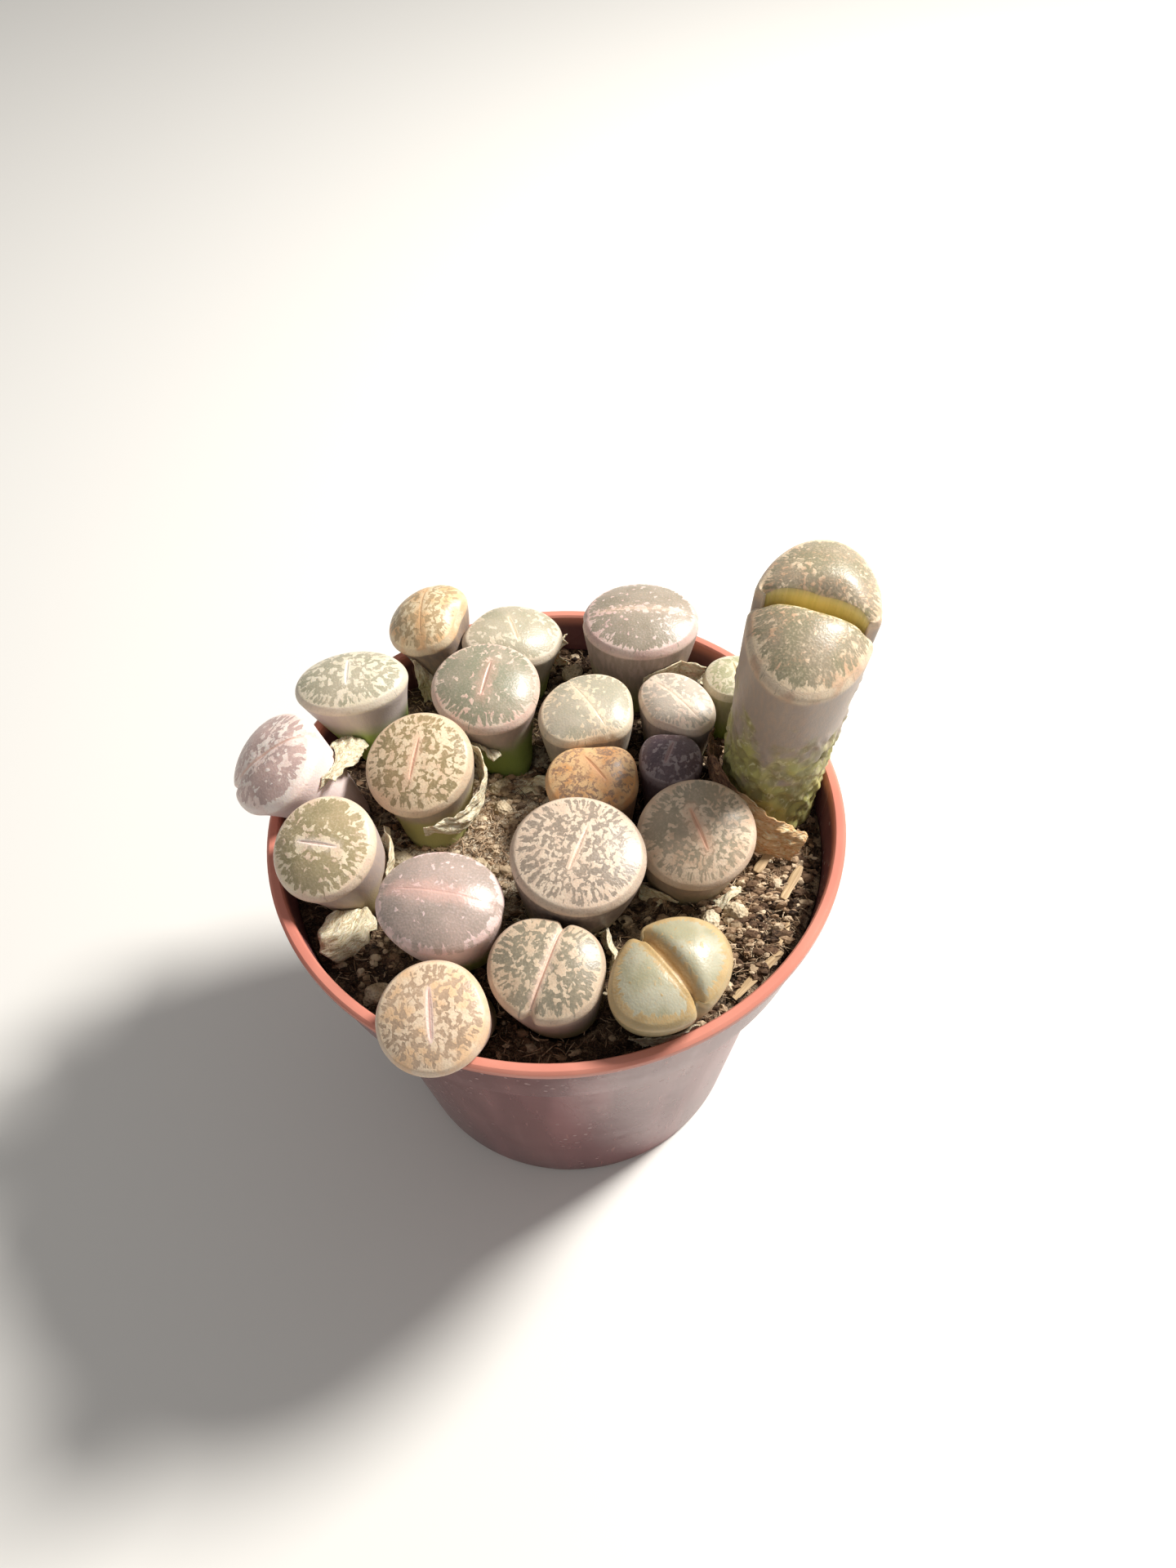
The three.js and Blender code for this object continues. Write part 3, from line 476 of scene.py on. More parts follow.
def opening_of(body, U, V, rho):
    """How far each point of the face lies inside the opening, and how deep the opening takes it down."""
    cut = FISSURES[body.fissure]
    short = cut.reach < 1
    from_line = np.abs(V) * body.wide
    reached = np.clip(1 - (np.abs(U) / cut.reach) ** 2, 0, 1)
    half = cut.lip * (0.3 + 0.7 * np.sqrt(reached)) if short else cut.lip
    ends = np.clip(reached * 3, 0, 1) if short else 0.35 + 0.65 * np.clip((1 - np.abs(U)) * 4, 0, 1)
    past_lip = np.maximum(from_line - cut.lip, 0)
    groove = np.clip(1 - (from_line / half) ** 2, 0, 1) ** cut.slope
    valley = cut.rounding * np.exp(-past_lip / (0.7 + 0.9 * cut.rounding)) * (ends if short else 1)
    if body.fissure == "gape":
        # One leaf stands over the other, and its inner wall slants down to the other's sharp edge.
        groove = np.interp(V * body.wide, [-0.35, 0, 0.4, 3.0], [0, 1, 0.95, 0])
    if body.fissure == "split":
        # The far lobe curves down to its inner edge.
        valley = np.where(V > 0, 3.8 * np.exp(-past_lip / 3.0) * (1 - 0.3 * rho ** 2), valley)
    sunk = cut.depth * groove * ends + valley * (0.5 if short else 1 - 0.6 * rho)
    wide_open = body.fissure in ("gape", "split")
    inside = groove if wide_open else np.clip(1 - from_line / (0.32 * half), 0, 1)
    from_slit = np.hypot(np.maximum(from_line - half, 0), np.maximum(np.abs(U) - cut.reach, 0) * body.long)
    return sunk, np.clip(inside * ends, 0, 1), from_slit


def face_of(number, body, columns, rows):
    """Points of the face, and for each its place on it, its place along the margin and its marks."""
    cut = FISSURES[body.fissure]
    along, across, out = face_axes(body)
    U, V = np.meshgrid(columns, rows)
    FX, FY = disc(U, V)
    rho = np.hypot(FX, FY)
    sunk, inside, from_slit = opening_of(body, U, V, rho)
    from_line = np.abs(V) * body.wide
    press = 1 + (pressed_at(body, FX, FY) - 1) * rho
    bite = cut.notch * np.exp(-((from_line / 1.3) ** 2)) * smooth(np.abs(U), 0.6, 1)
    parting = np.where(from_line <= cut.lip, 1, 1 - np.abs(V))
    push = np.sign(V) * cut.gap * (1 - U * U) * parting / 2
    rise = cut.lift * smooth(V * body.wide, -0.3, 0.3) + body.crown * (1 - rho ** 2.4) - sunk
    spots = np.stack([FX.ravel() * body.long, FY.ravel() * body.wide, np.full(FX.size, number)], 1)
    rise = rise + 0.10 * lumps(spots, 3.2, number).reshape(rise.shape) * (1 - rho ** 6)
    X = FX * press * (1 - bite) * RIM_SHARE * body.long
    Y = FY * press * RIM_SHARE * body.wide + push
    points = middle_of(body) + X[..., None] * along + Y[..., None] * across + rise[..., None] * out
    theta = np.arctan2(FY * body.wide, FX * body.long)
    size = (body.long + body.wide) / 2
    own = number * PATTERN_STEP
    place = np.stack([X, Y, np.full_like(X, own)], 2)
    margin = np.stack([np.cos(theta) * size, np.sin(theta) * size, rho * size * 0.3 + own], 2)
    marks = np.stack([from_slit, rho, inside], 2)
    return [part.reshape(-1, 3) for part in (points, place, margin, marks)]


def sides_of(number, body, bu, bv):
    """Rings from the face's edge down to the root, each with its points and the same three values."""
    cut = FISSURES[body.fissure]
    out = face_axes(body)[2]
    bx, by = disc(bu, bv)
    squeeze = pressed_at(body, bx, by)
    around = np.arctan2(by * body.wide, bx * body.long)
    lifted = cut.lift * smooth(bv * body.wide, -0.3, 0.3)
    nipped = cut.notch * np.exp(-((bv * body.wide / 1.3) ** 2))
    shoulder = section(body, 0)[5]
    tallness = np.linalg.norm(middle_of(body) - np.array([*body.base, SOIL_TOP]))
    steps = 60 if body.up > TALL else 13
    levels = [*np.linspace(0, shoulder, 6)[1:], *np.linspace(shoulder, 1, steps + 1)[1:], 1.35, 1.7, 2]
    size = (body.long + body.wide) / 2
    own = number * PATTERN_STEP
    rings = []
    for s in levels:
        centre, sx, sy, (half_long, half_wide), sink, _ = section(body, s)
        share = (1 - nipped * max(1 - 2.2 * sink, 0)) * squeeze
        ring = centre + np.outer(bx * half_long * share, sx) + np.outer(by * half_wide * share, sy)
        ring = ring + np.outer(lifted * max(1 - s / 0.3, 0), out)
        down = np.full(len(bx), s * tallness)
        place = np.stack([bx * body.long, by * body.wide, own - down], 1)
        margin = np.stack([np.cos(around) * size, np.sin(around) * size, (size + down) * 0.3 + own], 1)
        low = np.full(len(bx), 1 + sink + max(s - 1, 0) + 0.001)
        rings.append((ring, place, margin, np.stack([np.full(len(bx), 9.0), low, np.zeros(len(bx))], 1)))
    return rings


def pucker(body, points, low):
    """Swells and wrinkles the old flesh round the foot of the tall body."""
    begins = low + 0.5 * lumps(points, 9, 5) + 0.006 * (points[:, 0] - 46)
    share = smooth(begins, 1.28, 1.62) * (low > 1.05) * (low < 2.01)
    face = middle_of(body)
    axis = face + (np.array([*body.base, SOIL_TOP]) - face) * np.clip(low - 1, 0, 1)[:, None]
    outward = points - axis
    outward[:, 2] = 0
    outward /= np.maximum(np.linalg.norm(outward, axis=1), 1e-6)[:, None]
    puckers = 1 - np.abs(lumps(points * [1, 1, 1.3], 3.6, 3)) * 3.6
    fine = 0.55 * lumps(points, 1.9, 8) + 0.3 * lumps(points, 1.0, 9)
    points += outward * (share * (0.6 * puckers + 0.7 * fine))[:, None]


def body_piece(name, number, body):
    columns, rows = face_grid(body)
    border = border_of(len(columns), len(rows))
    bu, bv = columns[np.array(border) % len(columns)], rows[np.array(border) // len(columns)]
    parts = [face_of(number, body, columns, rows)]
    faces = squares_of(len(columns), len(rows))
    above, total = border, len(parts[0][0])
    for ring in sides_of(number, body, bu, bv):
        here = range(total, total + len(border))
        total += len(border)
        faces += band_between(above, here)
        above = here
        parts.append(ring)
    tip = section(body, 2)[0]
    tip[2] = SOIL_TOP - ROOT_DEPTH - 0.5
    parts.append((tip[None], np.zeros((1, 3)), np.zeros((1, 3)), np.array([[9.0, 3.0, 0.0]])))
    faces += closed_at(above, total)
    points, place, margin, marks = [np.concatenate(part) for part in zip(*parts)]
    if body.up > TALL:
        pucker(body, points, marks[:, 1])
    off_the_rim(points)
    piece = mesh_piece(name, points, faces)
    keep_values(piece, "face", place)
    keep_values(piece, "margin", margin)
    keep_values(piece, "marks", marks)
    soften(piece)
    return piece


# Skins. Hues: window (see-through flesh) with deep as its second tone, island (opaque pale patches) with
# blush as its second tone, side under the margin, foot at the soil, slit, and a darker hue deep inside the
# slit, which is painted shade. Then: amount of islands, size of one in mm, teeth (how far they run in from
# the margin), rim (where it begins and ends, least and most fill), band (how far the pale band reaches
# from the slit in mm) and by how much it fills, glow (how much of the slit's hue it takes), line (how
# strongly slit and its painted shade show), soft (edges of the islands), dots in the windows, low (where
# the side turns to its foot hue) and clear (x, y and radius in mm of places without islands).
SKINS = [
    dict(window=(190, 164, 126), deep=(172, 148, 112), island=(242, 222, 186), blush=(234, 190, 140),
         side=(150, 134, 123), foot=(132, 150, 84), slit=(222, 180, 134), pit=(176, 128, 90),
         amount=0, size=0.75, teeth=0.14, band=2, glow=0.3, line=0.6),
    dict(window=(184, 174, 152), deep=(168, 162, 138), island=(222, 208, 188), blush=(214, 200, 176),
         side=(173, 162, 149), foot=(150, 164, 92), slit=(232, 214, 186), pit=(176, 150, 124),
         amount=-0.05, size=0.95, teeth=0.14, band=1.5, clear=[(-4, 0, 5), (3, 4, 4)]),
    dict(window=(182, 172, 150), deep=(164, 160, 136), island=(234, 222, 200), blush=(224, 212, 188),
         side=(199, 186, 180), foot=(156, 180, 84), slit=(246, 238, 224), pit=(196, 172, 150),
         amount=-0.01, size=0.95, teeth=0.2, band=1.2, low=(1.2, 1.6)),
    dict(window=(168, 158, 138), deep=(146, 144, 122), island=(228, 204, 186), blush=(224, 190, 174),
         side=(177, 160, 151), foot=(146, 166, 84), slit=(222, 176, 158), pit=(170, 116, 100),
         amount=-0.07, size=0.7, teeth=0.18, band=2.6, glow=0.35, line=0.4, low=(1.2, 1.7),
         clear=[(0, 4, 6), (0, -4, 6)]),
    dict(window=(166, 154, 138), deep=(150, 140, 122), island=(230, 205, 195), blush=(224, 190, 182),
         side=(146, 131, 121), foot=(146, 146, 96), slit=(228, 198, 176), pit=(206, 164, 144),
         amount=-0.06, size=0.75, teeth=0.15, band=2, glow=0.25, line=0.45,
         clear=[(-5, 5, 5), (5, 5, 5), (0, -6, 5)]),
    dict(window=(208, 178, 170), deep=(186, 160, 154), island=(250, 236, 226), blush=(244, 220, 210),
         side=(240, 222, 218), foot=(190, 160, 156), slit=(238, 210, 198), pit=(176, 128, 116),
         amount=-0.01, size=0.85, teeth=0.2, band=2, clear=[(0, 7, 4), (0, -7, 4)]),
    # Body 7: its side hue is darkened as painted shade, for a side turned away from the light.
    dict(window=(164, 142, 104), deep=(148, 132, 96), island=(234, 212, 180), blush=(228, 198, 166),
         side=(168, 154, 140), foot=(176, 172, 110), slit=(236, 188, 160), pit=(180, 120, 92),
         amount=-0.01, size=0.85, teeth=0.16, band=2, glow=0.3, low=(1.15, 1.6)),
    dict(window=(188, 178, 160), deep=(172, 166, 146), island=(230, 214, 188), blush=(224, 204, 176),
         side=(161, 150, 136), foot=(150, 150, 96), slit=(232, 214, 186), pit=(212, 186, 156),
         amount=-0.05, size=0.8, teeth=0.16, band=2.4, glow=0.3, line=0.5,
         clear=[(0, 5.5, 4), (0, -5.5, 4)]),
    dict(window=(196, 184, 170), deep=(176, 166, 152), island=(234, 216, 196), blush=(226, 202, 184),
         side=(163, 148, 139), foot=(140, 138, 96), slit=(232, 210, 188), pit=(200, 168, 146),
         amount=-0.01, size=0.75, teeth=0.22, band=1, line=0.6, clear=[(0, 4, 2.5), (0, -4, 2.5)]),
    dict(window=(190, 186, 152), deep=(174, 172, 134), island=(228, 219, 193), blush=(220, 207, 180),
         side=(166, 164, 122), foot=(140, 160, 70), slit=(226, 212, 172), pit=(180, 160, 116),
         amount=0, size=0.8, teeth=0.14),
    dict(window=(162, 148, 126), deep=(146, 138, 112), island=(228, 206, 176), blush=(208, 172, 140),
         side=(167, 153, 142), foot=(184, 180, 112), slit=(226, 206, 128), pit=(204, 182, 92),
         amount=-0.07, size=0.62, teeth=0.14, soft=0.055, dots=0.4, clear=[(0, -9, 5), (0, 10, 5)]),
    dict(window=(184, 144, 112), deep=(160, 128, 106), island=(236, 196, 146), blush=(228, 168, 110),
         side=(171, 137, 117), foot=(150, 120, 84), slit=(224, 168, 124), pit=(186, 120, 86),
         amount=0.03, size=0.7, teeth=0.1, band=3, glow=0.4, dots=0.6),
    dict(window=(105, 85, 90), deep=(90, 73, 81), island=(160, 146, 148), blush=(146, 130, 134),
         side=(123, 103, 108), foot=(96, 84, 78), slit=(170, 142, 142), pit=(120, 76, 76),
         amount=-0.08, size=0.8, teeth=0.1),
    dict(window=(178, 160, 138), deep=(160, 148, 126), island=(228, 204, 178), blush=(216, 186, 158),
         side=(164, 144, 130), foot=(140, 130, 100), slit=(222, 172, 142), pit=(192, 126, 104),
         amount=0.0, size=0.68, teeth=0.2, band=2.4, glow=0.35, soft=0.06,
         clear=[(-3, -6, 3.5), (-8, 4, 4)]),
    dict(window=(160, 144, 128), deep=(146, 132, 118), island=(222, 202, 180), blush=(214, 190, 168),
         side=(124, 111, 104), foot=(138, 130, 100), slit=(230, 200, 178), pit=(190, 150, 130),
         amount=0.0, size=0.7, teeth=0.22, band=1, line=0.6),
    dict(window=(178, 160, 124), deep=(162, 148, 112), island=(244, 226, 196), blush=(236, 208, 182),
         side=(191, 175, 169), foot=(184, 168, 124), slit=(242, 224, 212), pit=(196, 120, 104),
         amount=-0.03, size=0.85, teeth=0.18, band=1.6, glow=0.3, clear=[(0, 5.4, 4.2), (0, -5.4, 4)]),
    dict(window=(182, 162, 152), deep=(166, 150, 140), island=(234, 208, 204), blush=(228, 196, 190),
         side=(224, 202, 192), foot=(170, 180, 104), slit=(224, 182, 170), pit=(204, 156, 144),
         amount=-0.2, size=0.8, teeth=0.18, band=3.2, glow=0.6, line=0.45, low=(1.3, 1.75)),
    dict(window=(190, 162, 136), deep=(174, 148, 124), island=(234, 210, 182), blush=(232, 194, 154),
         side=(182, 160, 149), foot=(160, 150, 110), slit=(238, 208, 196), pit=(186, 120, 110),
         amount=0.01, size=0.7, teeth=0.14, band=1),
    dict(window=(148, 138, 118), deep=(134, 126, 108), island=(214, 192, 166), blush=(204, 180, 154),
         side=(172, 154, 142), foot=(156, 150, 112), slit=(230, 200, 182), pit=(188, 148, 130),
         amount=-0.035, size=0.68, teeth=0.22, band=1.2, glow=0.4),
    dict(window=(190, 186, 164), deep=(166, 162, 134), island=(198, 170, 124), blush=(182, 154, 108),
         side=(146, 132, 96), foot=(126, 122, 80), slit=(186, 156, 106), pit=(176, 140, 92),
         amount=-0.2, size=0.6, teeth=0.2, rim=(0.78, 0.99, 0.0, 0.46), band=1.6, by=0.24, glow=0.3,
         soft=0.1),
]
COMMON_SKIN = dict(
    rim=(0.91, 1.02, 0.0, 0.26), band=1, by=0.1, glow=0.15, line=0.85, soft=0.038, dots=0.22,
    low=(1.35, 1.95), clear=[],
)
HUES = "window deep island blush side foot slit pit".split()
TALL_LOW = (1.3, 1.7)


def skin_of(name, own, tall):
    """Skin of one body: islands and windows on the face, a plain side, a slit with its own colour."""
    skin = COMMON_SKIN | own
    hues = {part: tint(*skin[part]) for part in HUES}
    finish = finish_of(
        name, Specular_IOR_Level=0.45, Subsurface_Weight=0.12, Subsurface_Scale=0.0015,
        Subsurface_Radius=(1.0, 0.6, 0.35), Coat_Weight=0.22, Coat_Roughness=0.3,
    )
    face, margin = kept_vector("face"), kept_vector("margin")
    marks = kept_vector("marks")
    slit, rho, inside = [node("SeparateXYZ", {0: marks}, output=n) for n in range(3)]
    size, teeth, band = skin["size"], skin["teeth"], skin["band"]

    def strayed(at, *bends):
        for scale, far in bends:
            values = {"Vector": face, "Scale": scale / size, "Detail": 1.0}
            wander = node("TexNoise", values, output=1)
            away = node("VectorMath", {0: wander, 1: (0.5, 0.5, 0.5)}, operation="SUBTRACT")
            at = node("VectorMath", {0: away, 1: (far * size,) * 3, 2: at}, operation="MULTIPLY_ADD")
        return at

    # Islands: a frayed net of channels and pools, drawn out into teeth along the radius at the margin.
    frayed = strayed(face, (0.45, 1.6), (1.3, 0.6))
    pools = noise_of(frayed, 0.6 / size, detail=2)
    net = maths("ABSOLUTE", added(noise_of(frayed, 0.42 / size, detail=1), -0.5))
    middle = added(scaled(pools, 0.8), scaled(net, 1.2))
    streaks = noise_of(strayed(margin, (1.0, 0.8), (2.6, 0.25)), 0.8 / size, detail=1.5)
    outer = spread(rho, 0.97 - 1.5 * teeth, 0.97 - 0.5 * teeth)
    inner = maths("SUBTRACT", 1.0, outer)
    pattern = added(scaled(middle, inner), scaled(streaks, outer))
    level = added(pattern, skin["amount"] - 0.5, spread(rho, *skin["rim"]))
    level = added(level, spread(slit, band, 0.2, 0.0, skin["by"]))
    for cx, cy, radius in skin["clear"]:
        away = node("VectorMath", {0: face, 1: (cx, cy, 0)}, operation="SUBTRACT")
        flat = node("VectorMath", {0: away, 1: (1, 1, 0)}, operation="MULTIPLY")
        gone = node("VectorMath", {0: flat}, output=1, operation="LENGTH")
        level = maths("SUBTRACT", level, spread(gone, radius * 1.4, radius * 0.5, 0.0, 0.14))
    island = spread(level, -skin["soft"], skin["soft"])
    tone = noise_of(face, 0.16, detail=2)
    flesh = mixed(spread(tone, 0.35, 0.65), hues["window"], hues["deep"])
    cast = noise_of(face, 0.3, detail=1)
    pale = mixed(spread(cast, 0.38, 0.66), hues["island"], hues["blush"])
    speck = noise_of(face, 2.4, detail=2)
    flesh = mixed(spread(speck, 0.45, 0.68, 0.0, skin["dots"]), flesh, pale)
    pale = mixed(spread(speck, 0.5, 0.34, 0.0, 0.3), pale, flesh)
    near_slit = added(slit, scaled(added(pools, -0.5), 4.0))
    glow = spread(near_slit, band, 0.1, 0.0, skin["glow"])
    top = mixed(glow, mixed(island, flesh, pale), hues["slit"])
    # The side: a pale band under the margin that turns towards its foot colour at the soil.
    wave = added(rho, scaled(added(tone, -0.5), 1.1 if tall else 0.35))
    grain = mixed(spread(streaks, 0.4, 0.66, 0.0, 0.18), hues["side"], hues["blush"])
    flank = mixed(spread(wave, *(TALL_LOW if tall else skin["low"])), grain, hues["foot"])
    colour = mixed(spread(rho, 0.985, 1.03), top, flank)
    colour = mixed(spread(slit, 0.3, 0.0, 0.0, skin["line"]), colour, hues["slit"])
    # Deep inside the slit the colour turns darker: painted shade.
    colour = mixed(spread(inside, 0.25, 0.95, 0.0, skin["line"]), colour, hues["pit"])
    if tall:
        # The puckered foot is blotched darker olive by noise: painted shade standing for its hollows.
        foot = scaled(spread(wave, 1.25, 1.6), 0.6)
        shaded_hollows = spread(noise_of(face, 0.3, detail=3, distortion=0.6), 0.42, 0.62)
        colour = mixed(scaled(shaded_hollows, foot), colour, tint(124, 112, 74))
        # Pale flecks on the foot are painted glints.
        painted_glints = spread(noise_of(face, 0.7, detail=3, distortion=0.8), 0.57, 0.66)
        colour = mixed(scaled(painted_glints, foot), colour, tint(222, 216, 172))
    below = scaled(spread(rho, 0.98, 1.1), 0.1)
    dull = added(scaled(island, 0.14, 0.34), below, scaled(speck, 0.1))
    painted(colour, dull)
    pores = node("TexVoronoi", {"Vector": face, "Scale": 2.2})
    relief = added(scaled(island, 0.3), scaled(speck, 0.5), scaled(pores, 0.4))
    bumps(relief, 0.00018, strength=0.4)
    return finish


for number, (body, skin) in enumerate(zip(BODIES, SKINS), 1):
    piece = body_piece(f"living_stone_{number:02d}", number, body)
    piece.data.materials.append(skin_of(f"skin {number:02d}", skin, body.up > TALL))
    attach(piece, "root")
    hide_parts(f"lithops_{number:02d}")


# ---- soil --------------------------------------------------------------------------------------
# Gritty peat filled in round the bodies: a rough crumbly surface over one solid block, with dips where
# the roots stand.

# Swells and hollows of the soil: x, y, reach and height in mm.
MOUNDS = [(-15, 0, 9, 2.2), (36, -26, 14, 2), (-27, 42, 9, 2.5), (-36, -38, 15, -2), (10, 38, 9, -1)]
SOIL_EDGE, EDGE_HEIGHT = 56.11, 84.4
SOIL_POINTS = 190
# Middles of the open mound of old fibre and of the coarse peat at the right, whose pale chunks are painted
# sunlight.
MOUND, SUNLIT_PATCH = (-14, 1), (40, -22)


def soil_height(x, y):
    swell = 0.5 * np.sin(x / 6.1 + 1) * np.cos(y / 5.3) + 0.3 * np.sin((x + y) / 3.4)
    for mx, my, r, h in MOUNDS:
        swell = swell + h * np.exp(-((x - mx) ** 2 + (y - my) ** 2) / (r * r))
    return SOIL_TOP + swell


GROUND = [section(body, 1) for body in BODIES]


def root_share(x, y, grow=0.0):
    """How far each point is from the nearest body's middle at soil level: 1 on its skin."""
    nearest = np.full(np.shape(x), 9.0)
    for centre, ax, ay, (long, wide), _, _ in GROUND:
        dx, dy = x - centre[0], y - centre[1]
        along, across = dx * ax[0] + dy * ax[1], dx * ay[0] + dy * ay[1]
        nearest = np.minimum(nearest, np.hypot(along / (long + grow), across / (wide + grow)))
    return nearest


line = np.linspace(-1, 1, SOIL_POINTS)
SX, SY = [part.ravel() * SOIL_EDGE for part in disc(*np.meshgrid(line, line))]
flat = np.stack([SX, SY, np.zeros_like(SX)], 1)
crumb = 0.55 * lumps(flat, 4.2, 1) + 0.5 * lumps(flat, 2.1, 2) + 0.42 * lumps(flat, 1.1, 3)
crumb = crumb + 0.2 * lumps(flat, 0.6, 4)
# The peat is coarser at the right.
rough_at = 0.8 + 1.1 * smooth(SX + 0.2 * SY, 8, 32)
SZ = soil_height(SX, SY) + crumb * rough_at
SZ = SZ + (EDGE_HEIGHT - SZ) * smooth(np.hypot(SX, SY), SOIL_EDGE - 2.5, SOIL_EDGE)
share = root_share(SX, SY, 0.3)
# Every root has its seat.
dip = SOIL_TOP - ROOT_DEPTH * np.clip((1 - share) / 0.7, 0, 1) - 0.9
SZ = np.where(share < 1, np.minimum(SZ, dip), SZ)
faces = squares_of(SOIL_POINTS, SOIL_POINTS)
border = border_of(SOIL_POINTS, SOIL_POINTS)
angles = np.arctan2(SY[border], SX[border])
above, total, rings = border, len(SX), [np.stack([SX, SY, SZ], 1)]
# Under the surface the block follows the inside of the pot.
for r, z in ((55.0, 77.75), (50.6, 77.35), (40.6, 4.3), (39.7, 3.35)):
    rings.append(np.stack([np.cos(angles) * r, np.sin(angles) * r, np.full(len(angles), z)], 1))
    here = range(total, total + len(border))
    total += len(border)
    faces += band_between(above, here)
    above = here
rings.append(np.array([[0, 0, 3.35]]))
faces += closed_at(above, total)
soil = mesh_piece("peat", np.concatenate(rings), faces)
soften(soil)

peat = finish_of("gritty peat", Specular_IOR_Level=0.2)
place = where_on()
coarse = noise_of(place, 170, detail=4, distortion=0.6, roughness=0.65)
fine = noise_of(place, 1100, detail=3, distortion=0.4, roughness=0.7)
strands = noise_of(squeezed(place, (1, 3.2, 1), turn=0.7), 900, detail=2, distortion=1.6)
brown = ramp(scaled(coarse, 0.5, scaled(fine, 0.5)), [
    (0.34, (48, 39, 34)), (0.46, (76, 61, 52)), (0.54, (112, 88, 70)), (0.64, (190, 164, 134)),
])
fibre = mixed(spread(strands, 0.58, 0.68, 0.0, 0.6), brown, tint(186, 158, 124))


def far_from(centre):
    values = {0: place, 1: (centre[0] * MM, centre[1] * MM, (SOIL_TOP + 2) * MM)}
    return node("VectorMath", values, output=1, operation="DISTANCE")


# The mound is bleached tan fibre, painted paler still as a pool of sunlight.
bleached_and_sunlit = spread(added(far_from(MOUND), scaled(coarse, 0.01)), 0.034, 0.02, 0.0, 0.97)
# Chunks of the coarse peat at the right are painted pale: painted sunlight.
chunks = spread(noise_of(place, 420, detail=3, distortion=0.8), 0.44, 0.6, 0.0, 0.85)
sunlit_chunks = scaled(chunks, spread(far_from(SUNLIT_PATCH), 0.034, 0.018))
fibre = mixed(sunlit_chunks, fibre, tint(216, 190, 158))
mound = mixed(spread(fine, 0.38, 0.56), tint(206, 176, 146), tint(255, 240, 214))
painted(mixed(bleached_and_sunlit, fibre, mound), scaled(fine, 0.25, 0.72))
bumps(added(fine, strands), 0.001)
soil.data.materials.append(peat)
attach(soil, "root")
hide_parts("soil")


# ---- grit, bark and fibres in the soil ---------------------------------------------------------
# Loose grains of perlite and stone, crumbs of bark and short peat fibres, strewn over the surface.
GRAINS, CRUMBS, COARSE_CRUMBS, FIBRES = 340, 1500, 760, 4600
GRAINS_IN_NESTS, TANGLED_FIBRES, PALE_FIBRES = 240, 620, 1500
# Middles of the coarse heap at the right and of the tangle of fibres on the mound.
HEAP, TANGLE = (40, -20), (-14, -1)
# Where grains lie in nests: x, y and reach in mm.
NESTS = [
    (-12, 10, 7), (-33, -8, 6), (3, 43, 8), (-15, -10, 6), (31, -24, 8), (-32, -20, 6), (24, 32, 7),
    (-40, -33, 9),
]


def rough_ball(subdivisions, seed, unevenness):
    deselect()
    bpy.ops.mesh.primitive_ico_sphere_add(subdivisions=subdivisions, radius=1)
    ball = bpy.context.object
    corners = np.array([v.co for v in ball.data.vertices])
    faces = [tuple(p.vertices) for p in ball.data.polygons]
    bpy.data.objects.remove(ball)
    swell = 1 + unevenness * lumps(corners, 0.9, seed) + 0.4 * unevenness * lumps(corners, 0.35, seed + 1)
    return corners * swell[:, None], faces


def turned_by(rng):
    axis = unit(np.array([rng.uniform(-1, 1), rng.uniform(-1, 1), rng.uniform(-1, 1)]) + 1e-3)
    return np.array(Matrix.Rotation(rng.uniform(0, 2 * math.pi), 3, Vector(axis)))


def sown(name, points, faces, shades, finish):
    """One object of many loose bits that ride on the soil, each with its own shade."""
    piece = mesh_piece(name, points, faces)
    keep_values(piece, "shade", shades)
    piece.data.materials.append(finish)
    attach(piece, "root")


def strew(name, rng, grains, shapes, finish):
    """Sows grains, each given as x, y, z, its sizes along, across and up, and its shade."""
    points, faces, shades, start = [], [], [], 0
    for x, y, z, size, shade in grains:
        corners, sides = shapes[rng.randrange(len(shapes))]
        points.append((corners @ turned_by(rng).T) * size + [x, y, z])
        faces += [tuple(k + start for k in side) for side in sides]
        shades.append(np.full(len(corners), shade))
        start += len(corners)
    sown(name, np.concatenate(points), faces, np.concatenate(shades), finish)


def taken(x, y, clear, edge=54.0):
    """Whether a spot lies outside the pot's rim or within a body."""
    return math.hypot(x, y) > edge or root_share(np.array([x]), np.array([y]), clear)[0] < 1


def ground_at(x, y):
    return float(soil_height(np.array(x), np.array(y)))


def open_spot(rng, clear):
    while True:
        r, a = 54.5 * math.sqrt(rng.random()), rng.uniform(0, 2 * math.pi)
        x, y = r * math.cos(a), r * math.sin(a)
        if root_share(np.array([x]), np.array([y]), clear)[0] > 1:
            return x, y


def strewn_near(rng, centre, reach_x, reach_y):
    return centre[0] + rng.gauss(0, reach_x), centre[1] + rng.gauss(0, reach_y)


def sizes_of(rng, size, *ranges):
    return size * np.array([rng.uniform(low, high) for low, high in ranges])


def tube_faces(steps, sides, start=0):
    """Faces of a tube made of rings of corners, closed at both ends."""
    faces = []
    for k in range(steps):
        for corner in range(sides):
            a, b = start + sides * k + corner, start + sides * k + (corner + 1) % sides
            faces.append((a, a + sides, b + sides, b))
    last = start + sides * steps
    return [*faces, tuple(range(start, start + sides)), tuple(range(last + sides - 1, last - 1, -1))]


